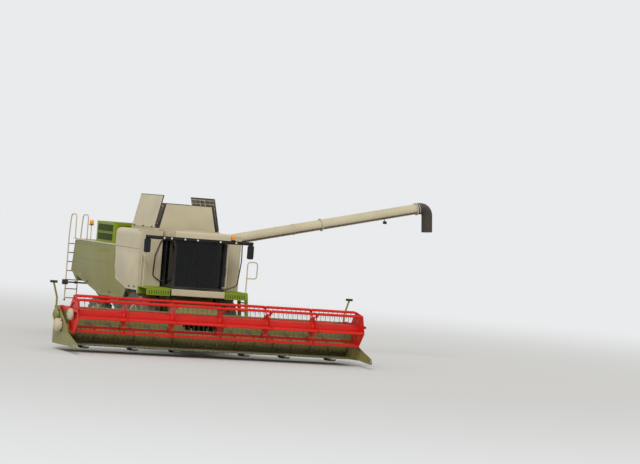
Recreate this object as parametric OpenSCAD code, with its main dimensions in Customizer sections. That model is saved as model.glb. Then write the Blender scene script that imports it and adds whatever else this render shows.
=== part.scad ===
// Combine harvester with a grain header, unloading auger swung out to its left.
// Sizes are worked out in the machine's own frame: the front axle lies at y = 0, forward is -Y,
// the machine's left is +X and the ground is z = 0. placed() then moves it all so that the
// origin is the middle of the footprint, on the ground.

/* [Body] */
// Overall width over the side panels
body_w = 3268; // [3240:2:3300]
// Thickness of each side panel
panel_t = 34; // [20:1:44]
// Height of the seam under which the side panels hang
seam_z = 3030; // [3000:5:3045]
// Height of the cladding round the grain tank
cladding_z = 3620; // [3600:5:3650]
// Front face of the body, ahead of the front axle
body_front = 500; // [480:5:520]
// Distance from the front axle to the rear end of the body, at the seam
body_rear = 6260; // [6200:10:6350]
// Overhang of the rear end of the side panels below the seam
tail_rake = 230; // [150:10:300]
// Place of the joint between the front and rear side panels
panel_split = 1930; // [1880:5:1980]
// Height of the top of the threshing body, which carries tank, engine and deck posts
shell_top = 2300; // [2280:5:2320]
// Distance from the front axle to the front of the engine
engine_y = 3050; // [3000:10:3100]
// Length of the engine
engine_len = 1250; // [1150:10:1300]
// Width of the engine
engine_w = 1200; // [1000:10:1300]
// Gap between the engine and the deck over it
engine_gap = 30; // [20:1:60]

/* [Wheels] */
// Distance between the axles
wheelbase = 3800; // [3750:5:3850]
// Diameter of the front tyres over the lugs
front_tyre_d = 1790; // [1760:5:1800]
// Width of the front tyres
front_tyre_w = 650; // [620:5:655]
// Distance between the middles of the front tyres
front_track = 2480; // [2470:5:2490]
// Diameter of the front rims at the bead
front_rim_d = 813; // [780:1:840]
// Lugs on each side of a front tyre
front_lugs = 18; // [14:1:20]
// Diameter of the rear tyres over the lugs
rear_tyre_d = 1310; // [1280:5:1330]
// Width of the rear tyres
rear_tyre_w = 500; // [460:5:510]
// Distance between the middles of the rear tyres
rear_track = 2760; // [2750:5:2780]
// Diameter of the rear rims at the bead
rear_rim_d = 660; // [620:1:680]
// Lugs on each side of a rear tyre
rear_lugs = 15; // [12:1:18]
// Height of the tyre lugs
lug_h = 42; // [30:1:50]
// Distance from the middle of the machine to each steering pin
kingpin_x = 1020; // [1010:2:1030]
// Running clearance between a shaft and its hole, on the radius
shaft_gap = 0.05; // [0.02:0.01:0.1]

/* [Cab] */
// Half width of the cab at its windows
cab_half_w = 816; // [790:2:830]
// Front of the cab, ahead of the front axle
cab_front = 1400; // [1380:5:1420]
// Back of the cab, ahead of the front axle
cab_back = 150; // [140:5:180]
// Height of the cab floor
cab_floor_z = 1940; // [1920:5:1960]
// Height of the underside of the cab roof
cab_top_z = 3420; // [3400:5:3440]
// Height of the top of the cab roof
cab_roof_z = 3680; // [3650:5:3690]
// Overhang of the roof ahead of the windscreen
roof_overhang = 260; // [220:5:300]
// Thickness of the cab walls and pillars
cab_wall = 50; // [40:1:70]
// Thickness of the cab glass
glass_t = 8; // [5:1:10]
// Radius of the bowed windscreen
screen_r = 2400; // [2000:50:3200]
// Radius of the bow of the roof's front and of the visor
bow_r = 4000; // [3600:50:4600]
// Distance from the middle of the machine to the far edge of each mirror
mirror_x = 1760; // [1700:10:1800]

/* [Grain tank] */
// Half width of the tank at its rim
tank_half_w = 1060; // [1020:5:1070]
// Distance of the tank's front wall behind the front axle
tank_front = -60; // [-80:5:-40]
// Distance of the tank's rear wall behind the front axle
tank_rear = 2240; // [2200:5:2280]
// Height of the tank rim
tank_rim_z = 3700; // [3690:5:3730]
// Thickness of the tank walls and lids
tank_wall = 30; // [20:1:40]
// Length of the side lids from hinge to edge
side_lid_h = 1010; // [950:5:1020]
// Length of the front and rear lids from hinge to edge
end_lid_h = 780; // [700:5:800]
// Lean of the raised side lids towards the middle
side_lid_lean = 12.5; // [8:0.5:15]

/* [Unloading auger] */
// Diameter of the unloading tube
tube_d = 330; // [300:5:350]
// Length of the unloading tube from its turning axis to its flange at the spout
tube_len = 6840; // [6600:10:7000]
// Rise of the unloading tube
tube_rise = 12.7; // [12:0.1:14]
// Distance from the middle of the machine to the tube's turning axis
tube_pivot_x = 1320; // [1315:1:1330]
// Distance from the front axle to the tube's turning axis
tube_pivot_y = 600; // [580:5:640]
// Height of the turning ring under the tube's elbow
tube_ring_z = 3180; // [3160:5:3200]

/* [Header] */
// Cutting width
cut_w = 9120; // [8800:20:9400]
// Thickness of the header's end walls
end_wall_t = 60; // [40:5:80]
// Height of the knife above the ground
knife_z = 230; // [200:5:300]
// Distance of the knife tips ahead of the front axle
knife_reach = 3300; // [3260:5:3340]
// Distance of the header's back wall ahead of the front axle
back_wall_reach = 2110; // [2090:5:2130]
// Height of the top of the header's back wall
back_wall_z = 1150; // [1120:5:1180]
// Outer diameter of the table auger over its flights
auger_d = 600; // [560:5:620]
// Diameter of the table auger's tube
auger_tube_d = 400; // [340:5:420]
// Pitch of the table auger's flights
auger_pitch = 600; // [500:10:700]
// Height of the feeder house's turning axis
feeder_pivot_z = 1700; // [1680:5:1720]
// Half width of the feeder house
feeder_half_w = 700; // [660:5:720]

/* [Reel] */
// Length of the reel between its end plates
reel_len = 8900; // [8600:20:8960]
// Radius of the circle that the reel's bats run on
reel_r = 525; // [500:5:540]
// Distance of the reel's axis ahead of the front axle
reel_reach = 3470; // [3450:5:3500]
// Height of the reel's axis
reel_z = 1130; // [1110:5:1150]
// Diameter of the reel's central tube
reel_tube_d = 270; // [220:5:290]
// Diameter of each bat's tube
bat_d = 60; // [50:1:66]
// Number of bays between the reel's stars
reel_bays = 6; // [5:1:8]
// Length of the tines below a bat
tine_len = 200; // [150:5:210]
// Distance between tines
tine_pitch = 150; // [120:5:250]
// Turn of the first bat above the forward direction
bat_phase = -10; // [-12:1:-8]
// Offset of the control ring that keeps the tines upright
control_offset = 70; // [60:1:80]

/* [Hidden] */

$fn = 48;
e = 0.3;                              // clearance between pieces that seat on each other
half_w = body_w / 2;                  // outer face of the side panels
skin_x = half_w - panel_t;            // inner face of the side panels
shell_rear = body_rear - 360;         // rear end of the threshing body, under the hood
tail_sill_z = 1700;                   // underside of the hood over the spreader drum
front_x = front_track / 2;            // middle of a front tyre
rear_x = rear_track / 2;              // middle of a rear tyre
front_r = front_tyre_d / 2;           // height of the front axle
rear_r = rear_tyre_d / 2;             // height of the rear wheels' axle
axle_r = 60;                          // front spindle
spindle_r = 45;                       // rear spindle
kingpin_r = 40;                       // steering pin
pin_r = 50;                           // feeder house pins
reel_pin_r = 30;                      // reel arm pins and reel shaft
wheel_gap = 55;                       // from a front tyre to the threshing body
core_half_w = front_x - front_tyre_w / 2 - wheel_gap;
deck_out = front_x + front_tyre_w / 2 + 50;   // outer edges of the platforms
visor_d = 100;                        // depth and height of the visor
visor_h = 105;
brim_z = cab_top_z + 70;              // underside of the roof's brim, over the visor
bow_y = bow_r - cab_front - roof_overhang;    // middle of the bow, on the machine's middle plane
lamp_xs = [-1220, -1010, -610, -220, 520, 1070];
beacon_x = 975;
table_half = cut_w / 2;               // inner faces of the header's end walls
header_half = table_half + end_wall_t;
divider_out = 220;                    // drive covers outside the right end wall
divider_reach = knife_reach + 1080;   // tips of the crop dividers
table_z = knife_z - 60;               // underside of the header's table
sill_z = table_z + 90;                // top of the table's rear beam, under the feeder house
auger_y = -(back_wall_reach + auger_d / 2 + 60);
auger_z = table_z + 60 + auger_d / 2 + 30;
feeder_pivot_y = -300;
arm_pivot_y = -(back_wall_reach + 120);
arm_pivot_z = back_wall_z + 60;
arm_x = table_half - 40;              // outer faces of the reel arms
bat_step = 60;                        // six bats round the reel
tube_end_x = tube_pivot_x + tube_len * cos(tube_rise);
spout_lead = 119;                     // straight part of the spout on the tube's flange
spout_bend_r = 230;
spout_turn = 98;
spout_drop = 545;                     // straight part below the bend
spout_down = spout_turn - tube_rise;  // how far the straight part points below level
// Outermost point of the spout
spout_reach = tube_end_x + spout_lead * cos(tube_rise)
  + spout_bend_r * (sin(tube_rise) + sin(spout_down)) + spout_drop * cos(spout_down)
  + (tube_d / 2 + 11) * sin(spout_down);
ladder_y = body_rear + tail_rake + 130;
seam_gap = 8;                         // gap over the side panels
deck_top_z = seam_z + 48;             // top of the engine deck
deck_z = 1930;                        // top of the platforms
bracket_z = 1050;                      // top of the rear axle's bracket
shelf_z = 1840;                       // shelf that the cab stands on
shift_x = (spout_reach - header_half - divider_out) / 2;
shift_y = (ladder_y - divider_reach) / 2;

olive = [0.47, 0.50, 0.30];
cream = [0.80, 0.78, 0.68];
lime = [0.55, 0.66, 0.18];
red = [0.85, 0.13, 0.08];
black = [0.09, 0.09, 0.10];
steel = [0.45, 0.46, 0.47];
rubber = [0.12, 0.12, 0.12];

// Moves the machine's own frame onto the origin under its middle
module placed() { translate([-shift_x, -shift_y, 0]) children(); }

// A block between two opposite corners
module block(lo, hi) { translate(lo) cube(hi - lo); }

// A side profile of [y, z] points, carried from x0 to x1
module across(x0, x1) {
  translate([x0, 0, 0]) rotate([90, 0, 90]) linear_extrude(x1 - x0) children();
}

// A front profile of [x, z] points, carried from y0 to y1
module along(y0, y1) {
  translate([0, y1, 0]) rotate([90, 0, 0]) linear_extrude(y1 - y0) children();
}

// Shafts along each axis, from one end to the other
module shaft_x(x0, x1, r, y, z) { translate([x0, y, z]) rotate([0, 90, 0]) cylinder(h = x1 - x0, r = r); }
module shaft_y(y0, y1, r, x, z) { translate([x, y1, z]) rotate([90, 0, 0]) cylinder(h = y1 - y0, r = r); }
module shaft_z(z0, z1, r, x, y) { translate([x, y, z0]) cylinder(h = z1 - z0, r = r); }

// The piece itself and its mirror image on the other side of the machine
module both() {
  children();
  mirror([1, 0, 0]) children();
}

// A bent pipe through a list of points
module pipe(points, r) {
  for (i = [0 : len(points) - 2]) {
    d = points[i + 1] - points[i];
    translate(points[i]) rotate([0, acos(d.z / norm(d)), atan2(d.y, d.x)])
      cylinder(h = norm(d), r = r, $fn = 16);
  }
  if (len(points) > 2)
    for (i = [1 : len(points) - 2]) translate(points[i]) sphere(r = r + 1, $fn = 16);
}

// Rounded rectangle from its lowest to its highest corner
module pad(lo, hi, r) {
  translate(lo + [r, 0]) square(hi - lo - [2 * r, 0]);
  translate(lo + [0, r]) square(hi - lo - [0, 2 * r]);
  for (x = [lo.x + r, hi.x - r], y = [lo.y + r, hi.y - r]) translate([x, y]) circle(r);
}

// Wheels

// Section of a tyre from its bead to its shoulders, as [radius, offset] points
function tyre_section(r, w, bead_r) = [
  [bead_r, -0.42 * w], [bead_r + 40, -0.45 * w], [(r + bead_r) / 2, -0.5 * w],
  [r - 1.9 * lug_h, -0.48 * w], [r - lug_h, -0.36 * w], [r - lug_h, 0.36 * w],
  [r - 1.9 * lug_h, 0.48 * w], [(r + bead_r) / 2, 0.5 * w],
  [bead_r + 40, 0.45 * w], [bead_r, 0.42 * w]
];

// Plan of one lug on the left half of the tread, as [offset across, way round]
function lug_plan(w) = [
  [0.02 * w, -30], [0.47 * w, 0.24 * w - 16], [0.47 * w, 0.24 * w + 34], [0.02 * w, 34]
];

module tyre(d, w, bead_d, lugs) {
  r = d / 2;
  step = 360 / lugs;
  rotate([0, 90, 0]) rotate_extrude() polygon(tyre_section(r, w, bead_d / 2));
  intersection() {
    for (i = [0 : lugs - 1], side = [0, 1])
      rotate([i * step + side * step / 2, 0, 0]) mirror([side, 0, 0])
        translate([0, 0, r - 2.2 * lug_h]) linear_extrude(3 * lug_h) polygon(lug_plan(w));
    rotate([0, 90, 0]) cylinder(h = w, r = r, center = true, $fn = 96);
  }
}

// Rim with its well, dished disc and hub; dish is the disc's offset to the outside
module rim(bead_d, w, dish, hub_r, bore_r) {
  r = bead_d / 2 - e;
  lip = 22;                               // height of the flange beside the tyre's bead
  seat = 0.42 * w + 1;
  top = (0.42 + 0.03 * lip / 40) * w + 1;
  rotate([0, 90, 0]) difference() {
    rotate_extrude() polygon([
      [r + lip, -0.45 * w], [r + lip, -top], [r, -seat], [r, seat],
      [r + lip, top], [r + lip, 0.45 * w], [r - 14, 0.44 * w], [r - 14, dish + 34],
      [0.62 * r, dish + 4], [hub_r + 20, dish + 4], [hub_r, dish + 60], [bore_r, dish + 60],
      [bore_r, dish - 40], [hub_r, dish - 40], [hub_r + 8, dish - 12], [0.64 * r, dish - 12],
      [r - 14, dish + 14], [r - 14, -0.44 * w]
    ]);
    for (i = [0 : 7]) rotate([0, 0, i * 45 + 22.5]) translate([0.80 * r, 0, dish - 100])
      cylinder(h = 200, r = 0.075 * r);
  }
}

module front_tyre() { tyre(front_tyre_d, front_tyre_w, front_rim_d, front_lugs); }
module rear_tyre() { tyre(rear_tyre_d, rear_tyre_w, rear_rim_d, rear_lugs); }
module front_rim() { rim(front_rim_d, front_tyre_w, 0.2 * front_tyre_w, 150, axle_r + shaft_gap); }
module rear_rim() { rim(rear_rim_d, rear_tyre_w, 0.1 * rear_tyre_w, 110, spindle_r + shaft_gap); }

module at_front(side) {
  placed() translate([side * front_x, 0, front_r]) mirror([side < 0 ? 1 : 0, 0, 0]) children();
}
module at_rear(side) {
  placed() translate([side * rear_x, wheelbase, rear_r]) mirror([side < 0 ? 1 : 0, 0, 0]) children();
}

module front_tyre_left() { color(rubber) at_front(1) front_tyre(); }
module front_tyre_right() { color(rubber) at_front(-1) front_tyre(); }
module front_rim_left() { color(cream) at_front(1) front_rim(); }
module front_rim_right() { color(cream) at_front(-1) front_rim(); }
module rear_tyre_left() { color(rubber) at_rear(1) rear_tyre(); }
module rear_tyre_right() { color(rubber) at_rear(-1) rear_tyre(); }
module rear_rim_left() { color(cream) at_rear(1) rear_rim(); }
module rear_rim_right() { color(cream) at_rear(-1) rear_rim(); }

// Axle tube with a final drive inside each front wheel
module front_axle() {
  disc_x = front_x + 0.2 * front_tyre_w;   // middle of the rim's disc
  drive_in = core_half_w - 120;
  color(black) placed() {
    shaft_x(-drive_in - 10, drive_in + 10, 110, 0, front_r);
    both() {
      shaft_x(drive_in, disc_x - 180, 190, 0, front_r);
      shaft_x(disc_x - 200, disc_x - 44, 120, 0, front_r);
      shaft_x(disc_x - 60, disc_x + 50, axle_r, 0, front_r);
      block([drive_in, -150, front_r], [drive_in + 130, 150, front_r + 330]);
    }
  }
}

// Beam with a bored end for each steering pin, hung at its middle
module rear_axle() {
  color(black) placed() difference() {
    union() {
      block([-kingpin_x, wheelbase - 70, rear_r - 80], [kingpin_x, wheelbase + 70, rear_r + 80]);
      block([-150, wheelbase - 120, rear_r - 110], [150, wheelbase + 120, bracket_z]);
      both() shaft_z(rear_r - 100, rear_r + 100, 85, kingpin_x, wheelbase);
    }
    both() shaft_z(rear_r - 101, rear_r + 101, kingpin_r + shaft_gap, kingpin_x, wheelbase);
  }
}

// Steering pin, its two ears and the wheel's spindle
module knuckle() {
  gap = 5;
  shaft_z(rear_r - 140, rear_r + 140, kingpin_r, kingpin_x, wheelbase);
  for (z = [rear_r - 150, rear_r + 100 + gap])
    across(kingpin_x - 70, kingpin_x + 150) translate([wheelbase - 60, z]) square([120, 45]);
  block([kingpin_x + 100, wheelbase - 60, rear_r - 150],
        [kingpin_x + 150, wheelbase + 60, rear_r + 145 + gap]);
  shaft_x(kingpin_x + 140, rear_x + 0.1 * rear_tyre_w - 44, 70, wheelbase, rear_r);
  shaft_x(kingpin_x + 140, rear_x + 0.1 * rear_tyre_w + 50, spindle_r, wheelbase, rear_r);
}
module knuckle_left() { color(black) placed() knuckle(); }
module knuckle_right() { color(black) placed() mirror([1, 0, 0]) knuckle(); }

// Body

// Threshing and cleaning body between the wheels, with the brackets for the feeder house
module threshing_body() {
  ear_in = feeder_half_w + 12;
  rear_half = 690;                       // clears the steered wheels
  color(olive) placed() {
    difference() {
      union() {
        across(-core_half_w, core_half_w) polygon([
          [-body_front + 60, shelf_z], [-body_front + 60, 1560], [-180, 1300], [-150, 1150], [250, 720],
          [1500, 620], [2600, 700], [2600, shell_top], [-cab_back + 20, shell_top],
          [-cab_back + 20, shelf_z]
        ]);
        across(-rear_half, rear_half) polygon([
          [2600, 700], [2800, 880], [shell_rear - 1600, 900], [shell_rear - 700, 1250],
          [shell_rear, 1500], [shell_rear, shell_top], [2600, shell_top]
        ]);
      }
      // Seats of the front axle and the rear axle's bracket
      shaft_x(-front_x, front_x, 110 + e, 0, front_r);
      both() block([core_half_w - 120 - e, -150 - e, 0], [front_x, 150 + e, front_r + 330 + e]);
      both() shaft_x(core_half_w - 120 - e, front_x, 190 + e, 0, front_r);
      block([-150 - e, wheelbase - 120 - e, 0], [150 + e, wheelbase + 120 + e, bracket_z + e]);
      block([-front_x, wheelbase - 70 - e, 0], [front_x, wheelbase + 70 + e, rear_r + 80 + 60]);
      // Mouth for the feeder house, open at the front
      block([-ear_in, -body_front, 0], [ear_in, -90, shelf_z + 1]);
      // Holes for the feeder house's pins
      shaft_x(-core_half_w - 1, core_half_w + 1, pin_r + shaft_gap, feeder_pivot_y, feeder_pivot_z);
    }
    // Deck beams out to the side panels
    for (y = [-118, panel_split - 60, 3700, shell_rear - 160])
      block([-skin_x + e, y, shell_top - 120], [skin_x - e, y + 80, shell_top]);
  }
}

module engine() {
  color(steel) placed() block([-engine_w / 2, engine_y, shell_top + e],
    [engine_w / 2, engine_y + engine_len, seam_z - engine_gap]);
}

// Hopper with sloping sides down to its two bottom augers, open at its rim
module grain_tank() {
  t = tank_wall;
  floor_z = shell_top + e;
  w = tank_half_w;
  module bowl(x) {
    polygon([[-x, tank_rim_z + 1], [-x, 3200], [-500, floor_z + t], [500, floor_z + t], [x, 3200],
             [x, tank_rim_z + 1]]);
  }
  color(cream) placed() {
    difference() {
      along(tank_front, tank_rear) polygon([
        [-w, tank_rim_z], [-w, 3180], [-500, floor_z], [500, floor_z], [w, 3180], [w, tank_rim_z]
      ]);
      along(tank_front + t, tank_rear - t) bowl(w - t);
    }
    // Cross augers on the tank's floor
    for (x = [-250, 250]) shaft_y(tank_front + t, tank_rear - t, 60, x, floor_z + t + 150);
  }
}

// Cladding round the tank: a rounded top edge on the right, low on the left under the tube
module body_cladding() {
  r = 170;                                // rounding of the top edge
  in_x = tank_half_w + 12;
  low_z = tube_ring_z - 60;
  color(cream) placed() {
    // Right side
    along(-body_front, panel_split) {
      polygon([[-half_w, seam_z + seam_gap], [-half_w, cladding_z - r], [-half_w + r, cladding_z],
               [-in_x, cladding_z], [-in_x, cladding_z - 40], [-half_w + 50, cladding_z - 40 - r],
               [-half_w + 40, seam_z + seam_gap]]);
      intersection() {
        difference() {
          translate([-half_w + r, cladding_z - r]) circle(r);
          translate([-half_w + r, cladding_z - r]) circle(r - 40);
        }
        translate([-half_w, cladding_z - r]) square(r);
      }
    }
    // Corners beside the cab, and the strip between the cab's roof and the tank
    both() across(cab_half_w + 110, half_w - 45) polygon([
      [-body_front, seam_z + seam_gap], [-body_front, cladding_z], [tank_front - 14, cladding_z],
      [tank_front - 14, cladding_z - 40], [-body_front + 40, cladding_z - 40],
      [-body_front + 40, seam_z + seam_gap]
    ]);
    // Left side, cut low for the swinging tube
    along(-body_front, tube_pivot_y - 290) polygon([
      [half_w, seam_z + seam_gap], [half_w, cladding_z], [in_x, cladding_z], [in_x, cladding_z - 40],
      [half_w - 40, cladding_z - 40], [half_w - 40, seam_z + seam_gap]
    ]);
    along(tube_pivot_y - 290, panel_split) polygon([
      [half_w, seam_z + seam_gap], [half_w, low_z], [in_x, low_z], [in_x, low_z - 40],
      [half_w - 40, low_z - 40], [half_w - 40, seam_z + seam_gap]
    ]);
    // Turret that carries the tube
    shaft_z(low_z - 400, tube_ring_z - e, 210, tube_pivot_x, tube_pivot_y);
    // Bulkheads each side of the cab
    both() block([cab_half_w + 110, -body_front, 1690], [half_w - 4, -body_front + 40, seam_z + 10]);
    // Posts from the body's cross beams up to the cladding
    both() {
      block([cab_half_w + 112, -116, shell_top + e], [skin_x - 12, -80, cladding_z - 39]);
      block([1300, panel_split - 58, shell_top + e], [1540, panel_split - 1, seam_z + seam_gap + 1]);
      block([1300, shell_rear - 150, shell_top + e], [1540, shell_rear - 100, seam_z + seam_gap + 1]);
    }
    // Rear closing wall of the right side
    block([-half_w + 40, panel_split - 40, seam_z + seam_gap], [-in_x, panel_split, cladding_z - 40]);
    // Engine deck behind the tank
    block([-half_w, tank_rear + e, seam_z + seam_gap], [half_w, body_rear, deck_top_z]);
    both() block([tank_half_w + e, panel_split - 1, seam_z + seam_gap], [half_w, tank_rear + 1, deck_top_z]);
  }
}

// Louvred cooling housing on the engine deck
module radiator_housing() {
  y0 = 2550;
  y1 = 4410;
  x0 = -1500;
  x1 = 200;
  z0 = deck_top_z + e;
  z1 = z0 + 650;
  color(lime) placed() difference() {
    block([x0, y0, z0], [x1, y1, z1]);
    for (i = [0 : 8]) translate([x0 - 1, y0 + 120, z0 + 80 + i * 58])
      cube([26, y1 - y0 - 240, 26]);
    for (i = [0 : 8]) translate([x0 + 120, y0 - 1, z0 + 80 + i * 58]) cube([x1 - x0 - 240, 26, 26]);
  }
}

// Hood over the straw outlet, closing the tail between the side panels
module rear_hood() {
  x = skin_x - 6;
  color(olive) placed() across(-x, x) polygon([
    [shell_rear, shell_top], [shell_rear, seam_z - 2], [body_rear - 20, seam_z - 2],
    [body_rear + tail_rake - 30, 2010], [body_rear + tail_rake - 60, 1960],
    [shell_rear + 60, tail_sill_z], [shell_rear + e, tail_sill_z]
  ]);
}

// Spreader drum housing under the tail
module straw_chopper() {
  color(black) placed() {
    across(-800, 800) polygon([
      [shell_rear - 680, 1256.8], [shell_rear - 1, 1499.3], [shell_rear + e, 1500],
      [shell_rear + e, tail_sill_z - e], [shell_rear + 60, tail_sill_z - e],
      [shell_rear + 430, 1840], [shell_rear + 580, 1650], [shell_rear + 300, 1330],
      [shell_rear - 300, 1150]
    ]);
  }
}

// Ladder, its rails and the bars that carry the tail lamps
module rear_ladder() {
  y = ladder_y - 40;
  stay_z = 2880;
  stay_r = 20;
  top = seam_z - 2;
  hood_y = body_rear - 20 + (tail_rake - 10) * (top - stay_z + stay_r) / (top - 2010);
  color(cream) placed() {
    for (x = [-1760, -1360]) pipe([[x, y, 1000], [x, y, 3150], [x, y - 120, 3860], [x, y - 700, 3880],
      [x, y - 700, deck_top_z + e]], 20);
    for (i = [0 : 6]) pipe([[-1760, y, 1080 + i * 300], [-1360, y, 1080 + i * 300]], 16);
    shaft_y(hood_y + e, y, stay_r, -1560, stay_z);
  }
}

// Towing clevis under the tail, bored for its pin
module tow_hitch() {
  y = shell_rear - 200;                   // middle of the pin's hole
  color(black) placed() difference() {
    union() {
      across(-60, 60) polygon([[y - 800, 1133 - e], [y - 510, 1246 - e], [y - 500, 1000],
        [y + 60, 1000], [y + 60, 960], [y - 800, 960]]);
      across(-60, 60) polygon([[y - 800, 961], [y - 740, 961], [y - 700, 900], [y + 60, 900],
        [y + 60, 860], [y - 750, 860], [y - 800, 900]]);
    }
    shaft_z(800, 1100, 16, 0, y);
  }
}

// Cab

// Door opening and side windows, as a [y, z] outline
function side_outline() = [
  [-cab_front + 90, cab_floor_z + 60], [-cab_front + 50, cab_top_z - 60],
  [-body_front - 70, cab_top_z - 60], [-body_front - 70, cab_floor_z + 60]
];

// Floor, pillars, sills, apron and rear wall of the cab
module cab_body() {
  x = cab_half_w;
  color(black) placed() {
    block([-x, -cab_front, cab_floor_z - 60], [x, -cab_back, cab_floor_z]);
    difference() {
      block([-x, -cab_front, cab_floor_z - 1], [x, -cab_back, cab_top_z]);
      block([-x + cab_wall, -cab_front + cab_wall, cab_floor_z - 2],
            [x - cab_wall, -cab_back - cab_wall, cab_top_z + 1]);
      across(-x - 1, x + 1) polygon(side_outline());
      block([-x + cab_wall, -cab_front - 1, cab_floor_z + 40],
            [x - cab_wall, -cab_front + cab_wall + 1, cab_top_z - 40]);
    }
    // Mounts that stand on the body's shelf
    both() for (y = [-body_front + 120, -cab_back - 60]) shaft_z(shelf_z + e, cab_floor_z - 59, 45, 770, y);
  }
}

// Place along y of a point on the bow, r from the bow's middle and x from the machine's
function bow_at(x, r = bow_r) = bow_y - sqrt(r * r - x * x);

// A [radius, z] section carried round the bow, as far as x on each side
module bowed(x) {
  a = asin(x / bow_r);
  translate([0, bow_y, 0]) rotate([0, 0, -90 - a]) rotate_extrude(angle = 2 * a, $fn = 360) children();
}

// Roof cap with its bowed, rounded front and a brim over the visor
module cab_roof() {
  x = cab_half_w + 70;
  r = 80;
  back = bow_r - 300;
  color(cream) placed() {
    intersection() {
      bowed(x + 40) {
        polygon([[back, cab_top_z + e], [bow_r - visor_d - e, cab_top_z + e], [bow_r - visor_d - e, brim_z],
                 [bow_r, brim_z], [bow_r, cab_roof_z - r], [bow_r - r, cab_roof_z], [back, cab_roof_z]]);
        translate([bow_r - r, cab_roof_z - r]) circle(r, $fn = 48);
      }
      block([-x, -cab_front - roof_overhang - 1, cab_top_z], [x, 0, cab_roof_z + 1]);
    }
    block([-x, -cab_front - 20, cab_top_z + e], [x, -cab_back + 14, cab_roof_z]);
  }
}

// Bowed windscreen and the fixed window on the right
module cab_glass() {
  x = cab_half_w - cab_wall - e;
  color([0.07, 0.09, 0.10, 0.7]) placed() {
    intersection() {
      translate([0, -cab_front + screen_r - 45, cab_floor_z + 40 + e]) difference() {
        cylinder(h = cab_top_z - cab_floor_z - 80 - 2 * e, r = screen_r, $fn = 128);
        translate([0, 0, -1]) cylinder(h = cab_top_z, r = screen_r - glass_t, $fn = 128);
      }
      block([-x, -cab_front - 100, cab_floor_z], [x, -cab_front + 120, cab_top_z]);
    }
    across(-cab_half_w + 10, -cab_half_w + 10 + glass_t) offset(delta = -e) polygon(side_outline());
  }
}

// Door on the left side, hung on the rear pillar
module cab_door() {
  color(black) placed() across(cab_half_w + 6, cab_half_w + 36) difference() {
    offset(delta = 40) polygon(side_outline());
    offset(delta = -30) polygon(side_outline());
  }
  color(black) placed() for (z = [cab_floor_z + 200, cab_top_z - 300])
    shaft_z(z, z + 100, 18 - e, cab_half_w + 18, -body_front - 30);
}
module door_glass() {
  color([0.07, 0.09, 0.10, 0.7]) placed()
    across(cab_half_w + 16, cab_half_w + 16 + glass_t) offset(delta = -30 - e) polygon(side_outline());
}

module driver_seat() {
  y = -cab_back - 420;
  z = cab_floor_z + e;
  color(black) placed() {
    shaft_z(z, z + 330, 90, 0, y - 60);
    block([-210, y - 300, z + 329], [210, y + 170, z + 440]);
    across(-200, 200)
      polygon([[y + 60, z + 430], [y + 130, z + 1050], [y + 210, z + 1050], [y + 169, z + 430]]);
    both() block([230, y - 260, z + 560], [300, y + 130, z + 610]);
    both() block([205, y + 20, z + 400], [262, y + 90, z + 600]);
  }
}

module steering_column() {
  y = -cab_front + 330;
  z = cab_floor_z + e;
  color(black) placed() {
    across(-60, 60) polygon([[y - 110, z], [y + 20, z], [y + 90, z + 700], [y + 20, z + 720]]);
    translate([0, y + 66, z + 735]) rotate([-24, 0, 0]) {
      rotate_extrude() translate([190, 0]) circle(14);
      for (a = [90, 210, 330]) rotate([0, 0, a]) rotate([0, 90, 0]) cylinder(h = 186, r = 10);
      translate([0, 0, -40]) cylinder(h = 50, r = 40);
    }
  }
}

// Bowed shade over the windscreen, from mirror to mirror, with holes for its lamps
module visor() {
  z0 = brim_z - visor_h;
  z1 = brim_z - e;
  color(black) placed() difference() {
    bowed(mirror_x - 20) polygon([
      [bow_r - visor_d, z0], [bow_r - 25, z0], [bow_r, z0 + 30], [bow_r, z1], [bow_r - visor_d, z1]
    ]);
    for (x = lamp_xs) shaft_y(bow_at(x) - 60, bow_at(x) + 160, lamp_r + e, x, brim_z - visor_h / 2);
  }
}

module mirrors() {
  w = 190;
  y = bow_at(mirror_x - w / 2, bow_r - visor_d / 2);
  top = brim_z - visor_h - e;
  color(black) placed() both() along(y - 40, y + 30) pad([mirror_x - w, top - 420], [mirror_x, top], 50);
}

lamp_r = 38;

// Lamps in the visor, a beacon on it and one on a mast at the tail
module lamps() {
  color([0.95, 0.93, 0.85]) placed() {
    for (x = lamp_xs) shaft_y(bow_at(x) - 20, bow_at(x) + 80, lamp_r, x, brim_z - visor_h / 2);
    translate([beacon_x, bow_at(beacon_x, bow_r - visor_d / 2), brim_z]) {
      cylinder(h = 40, r = 46);
      cylinder(h = 170, r = 40);
    }
    shaft_z(deck_top_z + e, cladding_z - 60, 16, -1230, shell_rear);
    shaft_z(cladding_z - 70, cladding_z + 50, 55, -1230, shell_rear);
  }
}

// Pale apron under the windscreen
module cab_apron() {
  r = 28;
  y = -cab_front - e;
  color(cream) placed() {
    across(-cab_half_w - 30, cab_half_w + 30) {
      polygon([[y, cab_floor_z - 60], [y, cab_floor_z - 20], [y - 70 + r, cab_floor_z - 20],
               [y - 70, cab_floor_z - 20 - r], [y - 70, 1720 + r], [y - 70 + r, 1720], [y - 10, 1720]]);
      for (z = [cab_floor_z - 20 - r, 1720 + r]) translate([y - 70 + r, z]) circle(r);
    }
  }
}

// Lamp clusters on bars out from the chopper, under the tail
module tail_lamps() {
  y = shell_rear + 370;                   // rear faces of the bars
  color(black) placed() both() {
    block([800 + e, y - 50, 1590], [1880, y, 1640]);
    along(y - 1, y + 60) pad([1770, 1530], [1960, 1700], 24);
    shaft_y(y + 20, y + 75, 45, 1500, 1615);
    block([1470, y - 1, 1600], [1530, y + 21, 1630]);
  }
}

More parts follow.
